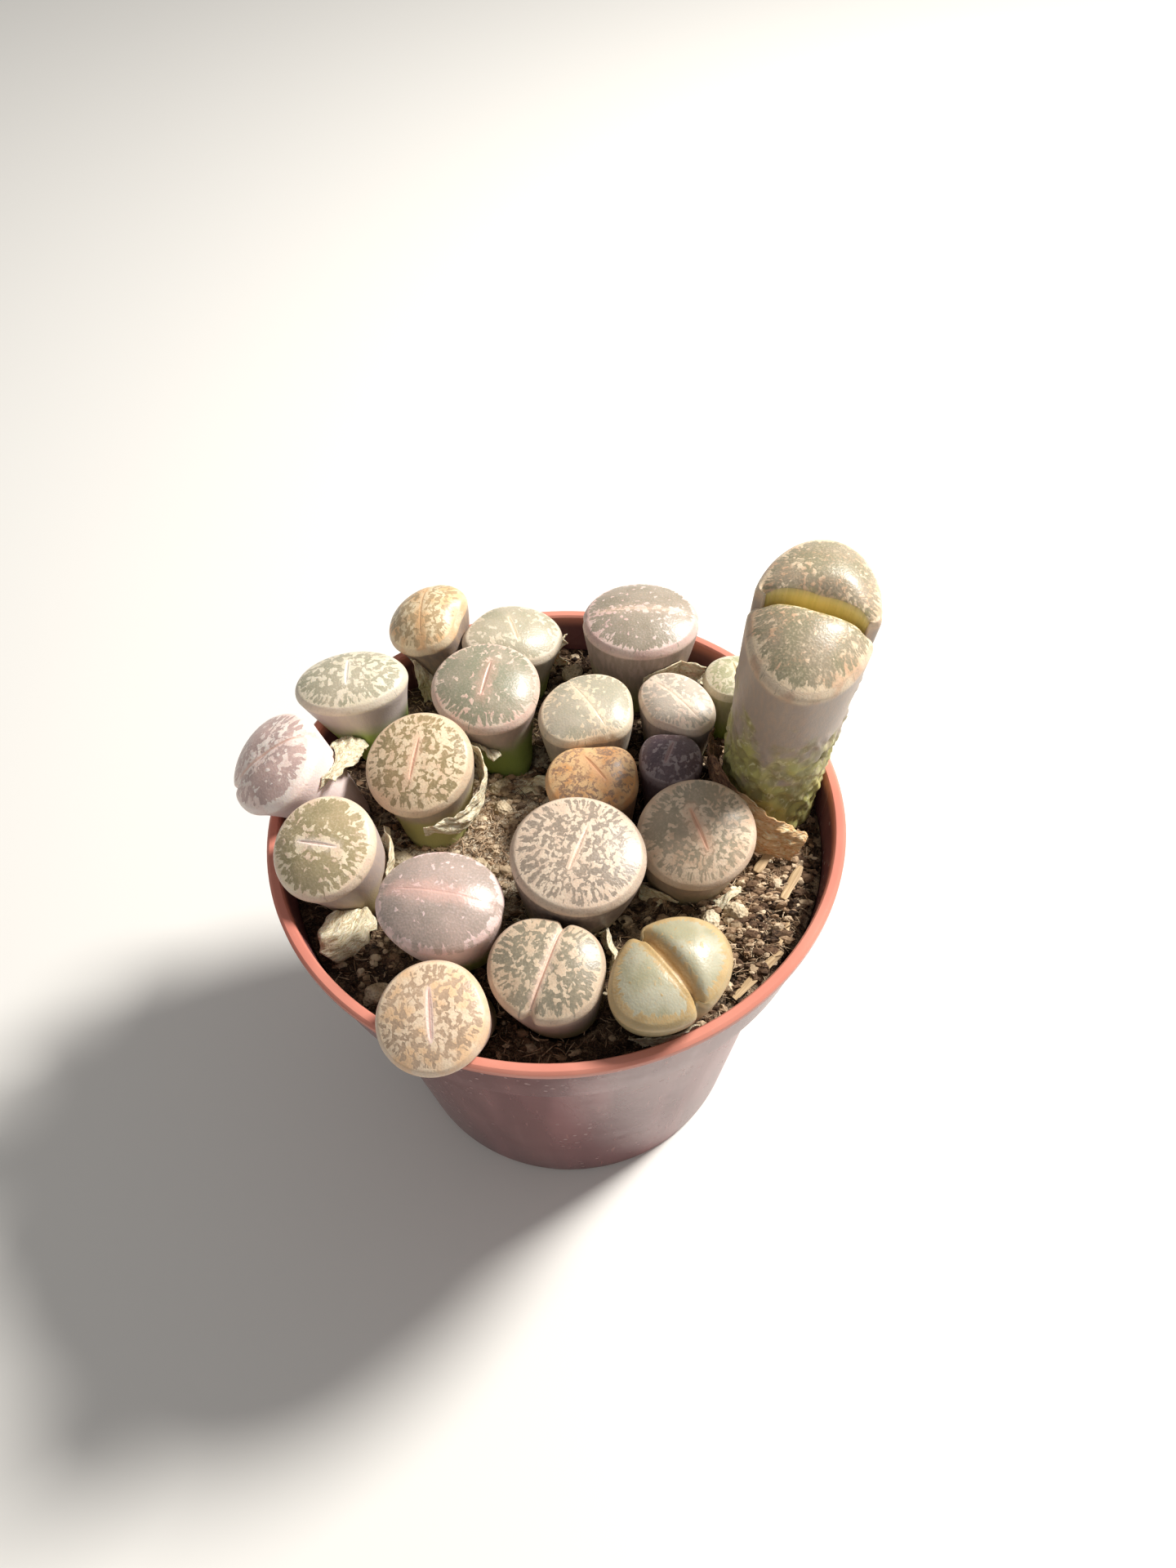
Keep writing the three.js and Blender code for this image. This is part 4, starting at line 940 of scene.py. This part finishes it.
rng = random.Random(4)
grains = []
for n in range(GRAINS):
    x, y = open_spot(rng, 0.4)
    if n < GRAINS_IN_NESTS:
        cx, cy, reach = NESTS[n % len(NESTS)]
        x, y = strewn_near(rng, (cx, cy), reach * 0.55, reach * 0.55)
        if taken(x, y, 0.4):
            continue
    size = 0.35 + 1.0 * rng.random() ** 2
    sizes = np.array([size * rng.uniform(0.9, 1.35), size, size * rng.uniform(0.65, 0.9)])
    grains.append((x, y, ground_at(x, y) + 0.35 * size, sizes, rng.random()))
shapes = [rough_ball(2, seed, 0.38) for seed in range(7)]
gravel = finish_of("perlite and grit", Specular_IOR_Level=0.3)
place = where_on()
mottle = noise_of(place, 900, detail=3)
stone = ramp(kept_number("shade"), [
    (0.0, (222, 206, 178)), (0.35, (198, 176, 146)), (0.7, (164, 140, 112)), (0.9, (132, 112, 92)),
    (1.0, (94, 80, 68)),
])
stone = mixed(spread(mottle, 0.4, 0.7, 0.0, 0.35), stone, tint(150, 130, 106))
soiled = spread(noise_of(place, 420, detail=3), 0.46, 0.66, 0.0, 0.75)
painted(mixed(soiled, stone, tint(96, 76, 58)), scaled(mottle, 0.3, 0.65))
bumps(mottle, 0.0004, strength=0.8)
strew("soil_grains", rng, grains, shapes, gravel)

# Crumbs of bark: pale ones on the mound, larger and paler ones at the right.
chips = []
for n in range(CRUMBS):
    x, y = open_spot(rng, 0.2)
    size = 0.4 + 0.9 * rng.random() ** 2 + (0.3 if x > 20 and y < 5 else 0)
    z = ground_at(x, y) + rng.uniform(-0.2, 0.75)
    # Crumbs on the mound and at the right are made paler: painted sunlight.
    shade = rng.random()
    if math.dist((x, y), MOUND) < 15:
        shade = 0.86 + 0.14 * shade
    elif x > 22 and y < 2:
        shade = shade ** 0.45
    chips.append((x, y, z, sizes_of(rng, size, (0.8, 1.3), (0.5, 0.9), (0.4, 0.8)), shade))
for n in range(COARSE_CRUMBS):
    x, y = strewn_near(rng, HEAP, 9, 14)
    if taken(x, y, 0.4, edge=53.5):
        continue
    size = 0.4 + 0.8 * rng.random() ** 2
    z = ground_at(x, y) + rng.uniform(0.2, 1.1)
    sizes = sizes_of(rng, size, (0.9, 1.6), (0.5, 0.9), (0.5, 0.9))
    chips.append((x, y, z, sizes, rng.random() ** 0.3))
shapes = [rough_ball(1, seed, 0.5) for seed in range(20, 24)]
shapes += [rough_ball(2, seed, 0.85) for seed in range(24, 28)]
bark = finish_of("bark crumbs", Specular_IOR_Level=0.2)
grainy = noise_of(where_on(), 1300, detail=3, distortion=0.5)
woody = ramp(kept_number("shade"), [
    (0.0, (30, 22, 18)), (0.45, (52, 39, 32)), (0.72, (92, 70, 54)), (0.88, (170, 142, 114)),
    (1.0, (234, 212, 180)),
])
woody = mixed(spread(grainy, 0.4, 0.7, 0.0, 0.6), woody, tint(132, 104, 80))
painted(woody, scaled(grainy, 0.2, 0.75))
bumps(grainy, 0.0004, strength=0.8)
strew("bark_crumbs", rng, chips, shapes, bark)

# Fibres are thin bent three-sided hairs: a tangle on the mound, pale ones at the right, the rest anywhere.
points, faces, shades, steps = [], [], [], 4
for n in range(FIBRES):
    pale = n < PALE_FIBRES
    if n < TANGLED_FIBRES:
        x, y = strewn_near(rng, TANGLE, 7, 6)
    elif pale:
        x, y = strewn_near(rng, HEAP, 8, 14)
    else:
        x, y = open_spot(rng, 0.2)
    if pale and taken(x, y, 0.2):
        continue
    length, thick = rng.uniform(1.0, 3.4), rng.uniform(0.05, 0.14)
    heading, bend, tilt = rng.uniform(0, 2 * math.pi), rng.uniform(-1.2, 1.2), rng.uniform(-0.12, 0.35)
    at = np.array([x, y, ground_at(x, y) + rng.uniform(0.2, 0.9)])
    faces += tube_faces(steps, 3, len(points))
    for k in range(steps + 1):
        side = np.array([-math.sin(heading), math.cos(heading), 0])
        taper = thick * (1 - 0.6 * abs(k / steps - 0.4))
        for corner in range(3):
            a = 2 * math.pi * corner / 3
            points.append(at + taper * (side * math.cos(a) + np.array([0, 0, 1]) * math.sin(a)))
        heading += bend / steps
        ahead = np.array([math.cos(heading), math.sin(heading), tilt - 0.16 * k])
        at = at + ahead * length / steps * [1, 1, 0.6]
    # Fibres in the tangle on the mound and at the right get pale shades: painted sunlight.
    shades += [rng.uniform(0.55, 1) if pale else rng.random()] * (3 * (steps + 1))
points = np.array(points)
off_the_rim(points)
dry = finish_of("peat fibre", Specular_IOR_Level=0.25)
hair = ramp(kept_number("shade"), [
    (0.0, (50, 36, 28)), (0.35, (110, 86, 66)), (0.65, (176, 146, 116)), (1.0, (228, 206, 174)),
])
streak = noise_of(where_on(), 1500, detail=2)
hair = mixed(spread(streak, 0.35, 0.7, 0.0, 0.4), hair, tint(92, 70, 54))
painted(hair, scaled(streak, 0.2, 0.7))
bumps(streak, 0.0002, strength=0.5)
sown("peat_fibres", points, faces, shades, dry)


# ---- pebbles -----------------------------------------------------------------------------------
# Larger grains of pumice and stone that lie between the bodies, worn and pitted. Each has its place (up
# from the rim), its half sizes in mm and its turn.
PEBBLES = [
    ((-12.5, 12.5, -8.6), (2.6, 2, 1.9), 20), ((-16.5, -9.2, -8.6), (2.7, 2.2, 1.9), 70),
    ((-12, 6, -7.8), (2.4, 1.8, 1.6), 130), ((-33.5, -6.5, -8.4), (3, 2.4, 2.3), 10),
    ((4.5, 46.5, -8.2), (2.6, 2.1, 2.2), 40), ((2.2, 40.5, -8.4), (2.2, 1.8, 1.8), 100),
    ((-31, -21.5, -8), (3, 2.6, 2.8), 60), ((-36, -37, -10.2), (3, 2.4, 2), 15),
    ((30, -26, -6.4), (2.5, 1.9, 1.8), 80), ((35.5, -24, -6.2), (2.4, 2, 1.8), 150),
]
pumice = finish_of("pumice", Specular_IOR_Level=0.25)
place = where_on()
broad = noise_of(place, 260, detail=4, distortion=0.4)
pits = node("TexVoronoi", {"Vector": place, "Scale": 1500.0})
cream = ramp(broad, [(0.32, (166, 144, 116)), (0.5, (208, 190, 160)), (0.68, (232, 220, 196))])
cream = mixed(spread(pits, 0.28, 0.1, 0.0, 0.55), cream, tint(128, 106, 84))
painted(cream, scaled(broad, 0.3, 0.65))
bumps(added(pits, broad), 0.0005, strength=0.8)
for number, ((x, y, z), sizes, turn) in enumerate(PEBBLES, 1):
    corners, faces = rough_ball(4, 50 + number, 0.3)
    corners = corners / np.maximum(1, (np.abs(corners) ** 5).sum(1) ** 0.2)[:, None]
    shaped = corners * np.array(sizes) * 1.02
    c, s = math.cos(math.radians(turn)), math.sin(math.radians(turn))
    shaped = shaped @ np.array([[c, s, 0], [-s, c, 0], [0, 0, 1]])
    pebble = mesh_piece(f"pebble_{number:02d}", shaped + [x, y, POT_HEIGHT + z], faces)
    soften(pebble)
    pebble.data.materials.append(pumice)
    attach(pebble, "root")
    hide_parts(f"stone_{number:02d}")


# ---- dried sheaths -----------------------------------------------------------------------------
# Old leaf pairs, dried to thin crinkled paper that clings round the living bodies and lies on the soil.
# Each is a strip along a path (up from the rim), with its widths at the start, middle and end, its roll at
# both ends and its curl in mm.
SHEATHS = [
    ([(-28.5, 38.2, -9), (-28.8, 39.2, -2), (-31, 41, 6)], (3, 4.5, 2.5), (0, 15), 0.4),
    ([(1, 50.5, -10.5), (1.5, 51, -5), (3.5, 51, -1)], (5, 5, 3), (0, 0), 1),
    ([(21, 33, 1.2), (27, 34.8, 2.6), (34, 34.4, 0.6)], (5, 7, 6), (98, 98), 0.8),
    ([(29.5, 40.5, -7.5), (32.5, 41, -5.2), (36, 39.8, -5.5)], (3.5, 5.5, 3.5), (20, 0), -0.8),
    ([(-20, 17.5, 3), (-16, 11, 2.5), (-15.8, 3, 1.5), (-19.5, -3.6, 1.2), (-27, -6, 1.2)],
     (5, 7, 2.5), (95, 95), 0.6),
    ([(-23.5, 22.5, 4.5), (-20, 21, 4), (-16.5, 18, 2), (-12.5, 14, -0.5)], (2.5, 5, 3), (50, 20), 0.8),
    ([(-44, 23, -2), (-45, 15.5, 2.5), (-45.6, 8.5, 6.5), (-47.5, 2.5, 8.5)],
     (5.5, 8, 6.5), (20, -20), 1.2),
    ([(-37, -4, -3), (-34.8, -9, -2), (-35.6, -15, -4)], (6, 8, 5), (105, 105), 1),
    ([(-39, -20, -6.5), (-42.5, -24.5, -5.5), (-46, -29.5, -7.5)], (6, 9.5, 4), (15, 25), 1.4),
    ([(7.5, -27, -5.5), (9.5, -31, -4.8), (10, -36, -5.8)], (6, 8, 5), (90, 90), 0.8),
    ([(12.5, -50.2, -8), (19, -51.3, -7), (26, -49.3, -7)], (3, 5, 3), (95, 95), 0.4),
    ([(-8, -25.5, -6), (-4, -29, -4), (2, -30, -4), (6, -28.5, -5)], (6, 8, 6), (80, 80), 0.6),
    ([(29.5, -22, -8), (33, -20.5, -6.5), (36.5, -17.5, -7.5)], (3, 4.5, 3), (35, 40), 0.4),
    ([(16.5, -17.5, -8), (19.5, -20, -6), (24, -21, -7)], (3, 5, 3), (95, 95), 0.6),
    ([(35.5, 17, 0), (34.6, 9, 0.5), (36, 0.5, 0.5), (42, -7.5, -1.5), (50, -10, -5)],
     (7, 12, 7), (60, 112), -1),
    ([(2, 10.5, -1.5), (7, 12.6, -2.2), (13, 12.4, -3.5)], (3, 4, 3), (85, 85), 0.4),
    ([(-8, 12.5, -8.5), (-4, 12, -7.2), (-0.5, 10, -8)], (4, 5, 3), (10, -5), -0.8),
]
OLD_SHEATH = 15
SHEATH_THICKNESS = 0.2
POINTS_PER_MM = 3.6
BODY_CLEAR, TALL_CLEAR = 0.45, 2.4


def path_points(path, t):
    """Points and headings on a smooth curve through the path, at shares t of its length."""
    knots = np.array([(x, y, POT_HEIGHT + z) for x, y, z in path], float)
    dense = []
    for n in range(len(knots) - 1):
        before = knots[n - 1] if n else 2 * knots[0] - knots[1]
        after = knots[n + 2] if n + 2 < len(knots) else 2 * knots[-1] - knots[-2]
        for f in np.linspace(0, 1, 30, endpoint=n == len(knots) - 2):
            a, b = (knots[n + 1] - before) / 2, (after - knots[n]) / 2
            f2, f3 = f * f, f * f * f
            first = (2 * f3 - 3 * f2 + 1) * knots[n] + (f3 - 2 * f2 + f) * a
            dense.append(first + (3 * f2 - 2 * f3) * knots[n + 1] + (f3 - f2) * b)
    dense = np.array(dense)
    gone = np.concatenate([[0], np.cumsum(np.linalg.norm(np.diff(dense, axis=0), axis=1))])
    gone /= gone[-1]
    at = np.stack([np.interp(t, gone, dense[:, k]) for k in range(3)], 1)
    ahead = np.gradient(at, axis=0)
    return at, ahead / np.linalg.norm(ahead, axis=1)[:, None]


LEVELS = [[section(body, s) for s in np.linspace(0, 1.4, 29)] for body in BODIES]


def round_the_bodies(points):
    """Moves points that lie inside a living body out to its skin, and farther off the puckered tall one."""
    for body, levels in zip(BODIES, LEVELS):
        clear = TALL_CLEAR if body.up > TALL else BODY_CLEAR
        if np.min(np.hypot(points[:, 0] - body.base[0], points[:, 1] - body.base[1])) > 32:
            continue
        best = np.full(len(points), 9.0)
        moved = points.copy()
        for centre, sx, sy, (long, wide), _, _ in levels:
            up = np.cross(sx, sy)
            off = points - centre
            dz, dx, dy = np.abs(off @ up), off @ sx, off @ sy
            press = pressed_at(body, dx / long, dy / wide)
            q = np.hypot(dx / ((long + clear) * press), dy / ((wide + clear) * press))
            better = dz < best
            best = np.where(better, dz, best)
            out = np.where(q < 1, 1 / np.maximum(q, 0.05) - 1, 0)[:, None]
            pushed = points + out * (np.outer(dx, sx) + np.outer(dy, sy))
            moved = np.where(better[:, None], pushed, moved)
        close = best < 1.2
        points[close] = moved[close]


def strip_axes(path, roll, t):
    """Middle line of a strip with its directions across and out, rolled about the line."""
    centre, ahead = path_points(path, t)
    side = np.cross(ahead, [0, 0, 1])
    side[np.linalg.norm(side, axis=1) < 0.1] = [1, 0, 0]
    side /= np.linalg.norm(side, axis=1)[:, None]
    up = np.cross(side, ahead)
    angle = np.radians(roll[0] + (roll[1] - roll[0]) * t)[:, None]
    across = side * np.cos(angle) + up * np.sin(angle)
    return centre, across, np.cross(across, ahead)


def crumpled(T, W, length, width, seed):
    """How far dry paper is crumpled out of its plane."""
    pucker = 0.35 * np.sin(9 * T + seed) * np.cos(5 * W + 2 * seed)
    pucker = pucker + 0.3 * (W - 0.5) * np.sin(14 * T + seed)
    spots = np.stack([T.ravel() * length * 0.35, (W * width).ravel(), np.full(T.size, seed * 5.0)], 1)
    crinkle = 0.7 * lumps(spots, 1.5, seed) + 0.4 * lumps(spots, 0.75, seed + 30)
    creases = 1.3 * (0.25 - np.abs(lumps(spots, 2.4, seed + 60)))
    crinkle = crinkle + 0.22 * lumps(spots, 0.42, seed + 90) + creases
    return pucker + crinkle.reshape(T.shape)


paper = finish_of("dried sheath", Specular_IOR_Level=0.3, Subsurface_Weight=0.1, Subsurface_Scale=0.0008)
veins = squeezed(kept_vector("run"), (0.45, 1.3, 1))
veins = noise_of(veins, 1.5, detail=4, distortion=1.6)
blotch = noise_of(where_on(), 210, detail=3)
crisp = ramp(veins, [
    (0.3, (176, 152, 118)), (0.43, (216, 200, 166)), (0.58, (236, 226, 200)), (0.75, (248, 242, 224)),
])
stained = mixed(spread(blotch, 0.52, 0.72, 0.0, 0.4), crisp, tint(196, 178, 142))
# The old sheath's golden hue of age is lightened to stand for sun shining through the paper: painted light.
golden = ramp(veins, [(0.3, (204, 154, 102)), (0.5, (240, 198, 146)), (0.7, (252, 232, 196))])
rusty = ramp(veins, [(0.3, (78, 54, 42)), (0.5, (128, 94, 72)), (0.7, (176, 138, 106))])
age = kept_number("age")
aged = mixed(spread(age, 0.15, 0.4), stained, golden)
aged = mixed(spread(age, 0.5, 0.75), aged, rusty)
painted(aged, scaled(veins, 0.3, 0.55))
bumps(scaled(blotch, 0.6, veins), 0.0006, strength=0.9)
for number, (path, widths, roll, curl) in enumerate(SHEATHS, 1):
    seed = number - 1
    length = sum(math.dist(a, b) for a, b in zip(path, path[1:]))
    nu, nv = max(36, int(length * POINTS_PER_MM)), max(18, int(max(widths) * POINTS_PER_MM))
    t = np.linspace(0, 1, nu)
    T, W = np.meshgrid(t, np.linspace(0, 1, nv), indexing="ij")
    centre, across, out = strip_axes(path, roll, t)
    ends = np.where(T < 0.5, widths[0], widths[2])
    width = ends + (widths[1] - ends) * np.sin(T * np.pi)
    frays = [[field.noise(Vector((a * length * 0.5, b * 40 + seed * 9, seed))) for b in (0, 1)] for a in t]
    ragged = 1 + 0.22 * np.array(frays)
    offset = (W - 0.5) * width * np.where(W < 0.5, ragged[:, :1], ragged[:, 1:])
    lift = curl * (1 - (2 * W - 1) ** 2) + crumpled(T, W, length, width, seed)
    points = centre[:, None] + across[:, None] * offset[..., None] + out[:, None] * lift[..., None]
    points = points.reshape(-1, 3)
    round_the_bodies(points)
    points[:, 2] = np.maximum(points[:, 2], soil_height(points[:, 0], points[:, 1]) - 1.5)
    off_the_rim(points)
    faces = [(a, d, c, b) for a, b, c, d in squares_of(nv, nu)]
    husk = mesh_piece(f"husk_{number:02d}", points, faces)
    run = np.stack([(T * length).ravel(), (W * width).ravel(), np.full(T.size, seed * 3.0)], 1)
    keep_values(husk, "run", run)
    keep_values(husk, "age", np.clip(1.5 - T * 1.6, 0.45, 1).ravel() * (number == OLD_SHEATH))
    thick = husk.modifiers.new("thick", "SOLIDIFY")
    thick.thickness = SHEATH_THICKNESS * MM
    thick.offset = 0
    apply_all(husk)
    soften(husk)
    husk.data.materials.append(paper)
    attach(husk, "root")
    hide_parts(f"sheath_{number:02d}")


# ---- straws ------------------------------------------------------------------------------------
# Flat tan splinters of straw and bark lying on the coarse peat at the right, each from one end to the
# other (up from the rim), with its half width in mm.
STRAWS = [
    ((40.5, -14, -6.8), (46.5, -6, -6.3), 1.0), ((45, -21, -6.6), (50.5, -13.5, -6.8), 0.9),
    ((33, -42.5, -7.6), (43.5, -33.5, -6.6), 0.9), ((45.5, -26, -7), (43, -32, -7), 0.6),
]
straw = finish_of("straw", Specular_IOR_Level=0.3)
stripes = squeezed(kept_vector("run"), (0.1, 1.6, 1.6))
stripes = noise_of(stripes, 1.6, detail=3, distortion=0.2)
golden = ramp(stripes, [(0.3, (164, 136, 102)), (0.5, (190, 162, 124)), (0.7, (210, 184, 146))])
painted(golden, scaled(stripes, 0.3, 0.5))
bumps(stripes, 0.00008, strength=0.3)
steps, sides = 22, 10
for number, (start_at, end_at, half) in enumerate(STRAWS, 1):
    a, b = [np.array([x, y, POT_HEIGHT + z]) for x, y, z in (start_at, end_at)]
    length = np.linalg.norm(b - a)
    ahead = (b - a) / length
    side = unit(np.cross(ahead, [0, 0, 1]))
    up = np.cross(side, ahead)
    points, runs = [], []
    for k in range(steps + 1):
        t = k / steps
        ragged = 1 - 0.45 * (abs(2 * t - 1) ** 6) + 0.12 * math.sin(9 * t + number)
        swung = side * 0.35 * math.sin(3 * t + number)
        middle_at = a + ahead * length * t + swung + up * 0.25 * math.sin(5 * t + number)
        for c in range(sides):
            angle = 2 * math.pi * c / sides
            wide_by = half * ragged * math.cos(angle)
            high_by = half * 0.28 * ragged * math.sin(angle) - 0.12 * (1 - abs(math.cos(angle))) * half
            points.append(middle_at + side * wide_by + up * high_by)
            runs.append((t * length, angle * half, number * 4.0))
    splinter = mesh_piece(f"splinter_{number:02d}", points, tube_faces(steps, sides))
    keep_values(splinter, "run", runs)
    work_on(splinter)
    bpy.ops.object.mode_set(mode="EDIT")
    bpy.ops.mesh.select_all(action="SELECT")
    bpy.ops.mesh.normals_make_consistent(inside=False)
    bpy.ops.object.mode_set(mode="OBJECT")
    bpy.ops.object.shade_smooth_by_angle(angle=math.radians(50))
    splinter.data.materials.append(straw)
    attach(splinter, "root")
    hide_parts(f"straw_{number:02d}")


# ---- floor and light ---------------------------------------------------------------------------
# A plain pale floor, one soft key from behind at the right and a wide fill from the front.
deselect()
bpy.ops.mesh.primitive_plane_add(size=6, location=(0, 0, 0))
floor = bpy.context.object
floor.name = "floor"
floor.data.materials.append(finish_of("pale floor", Roughness=0.7, Base_Color=tint(236, 234, 230)))


def soft_light(name, direction, distance, size, power, colour):
    lamp = bpy.data.lights.new(name, "AREA")
    lamp.shape = "DISK"
    lamp.size = size
    lamp.energy = power
    lamp.color = colour
    holder = bpy.data.objects.new(name, lamp)
    bpy.context.scene.collection.objects.link(holder)
    direction = Vector(direction).normalized()
    holder.location = Vector((0, 0, 0.07)) + direction * distance
    holder.rotation_mode = "QUATERNION"
    holder.rotation_quaternion = (-direction).to_track_quat("-Z", "Y")


soft_light("key", (0.67, 0.32, 0.77), 1.0, 0.22, 17, (1.0, 0.97, 0.92))
soft_light("fill", (-0.5, -0.8, 0.6), 1.2, 1.0, 1.2, (1.0, 0.98, 0.96))
world = bpy.data.worlds.new("studio")
bpy.context.scene.world = world
world.use_nodes = True
background = world.node_tree.nodes["Background"]
background.inputs["Color"].default_value = (1.0, 0.99, 0.97, 1)
background.inputs["Strength"].default_value = 0.28
bpy.context.scene.view_settings.view_transform = "Standard"
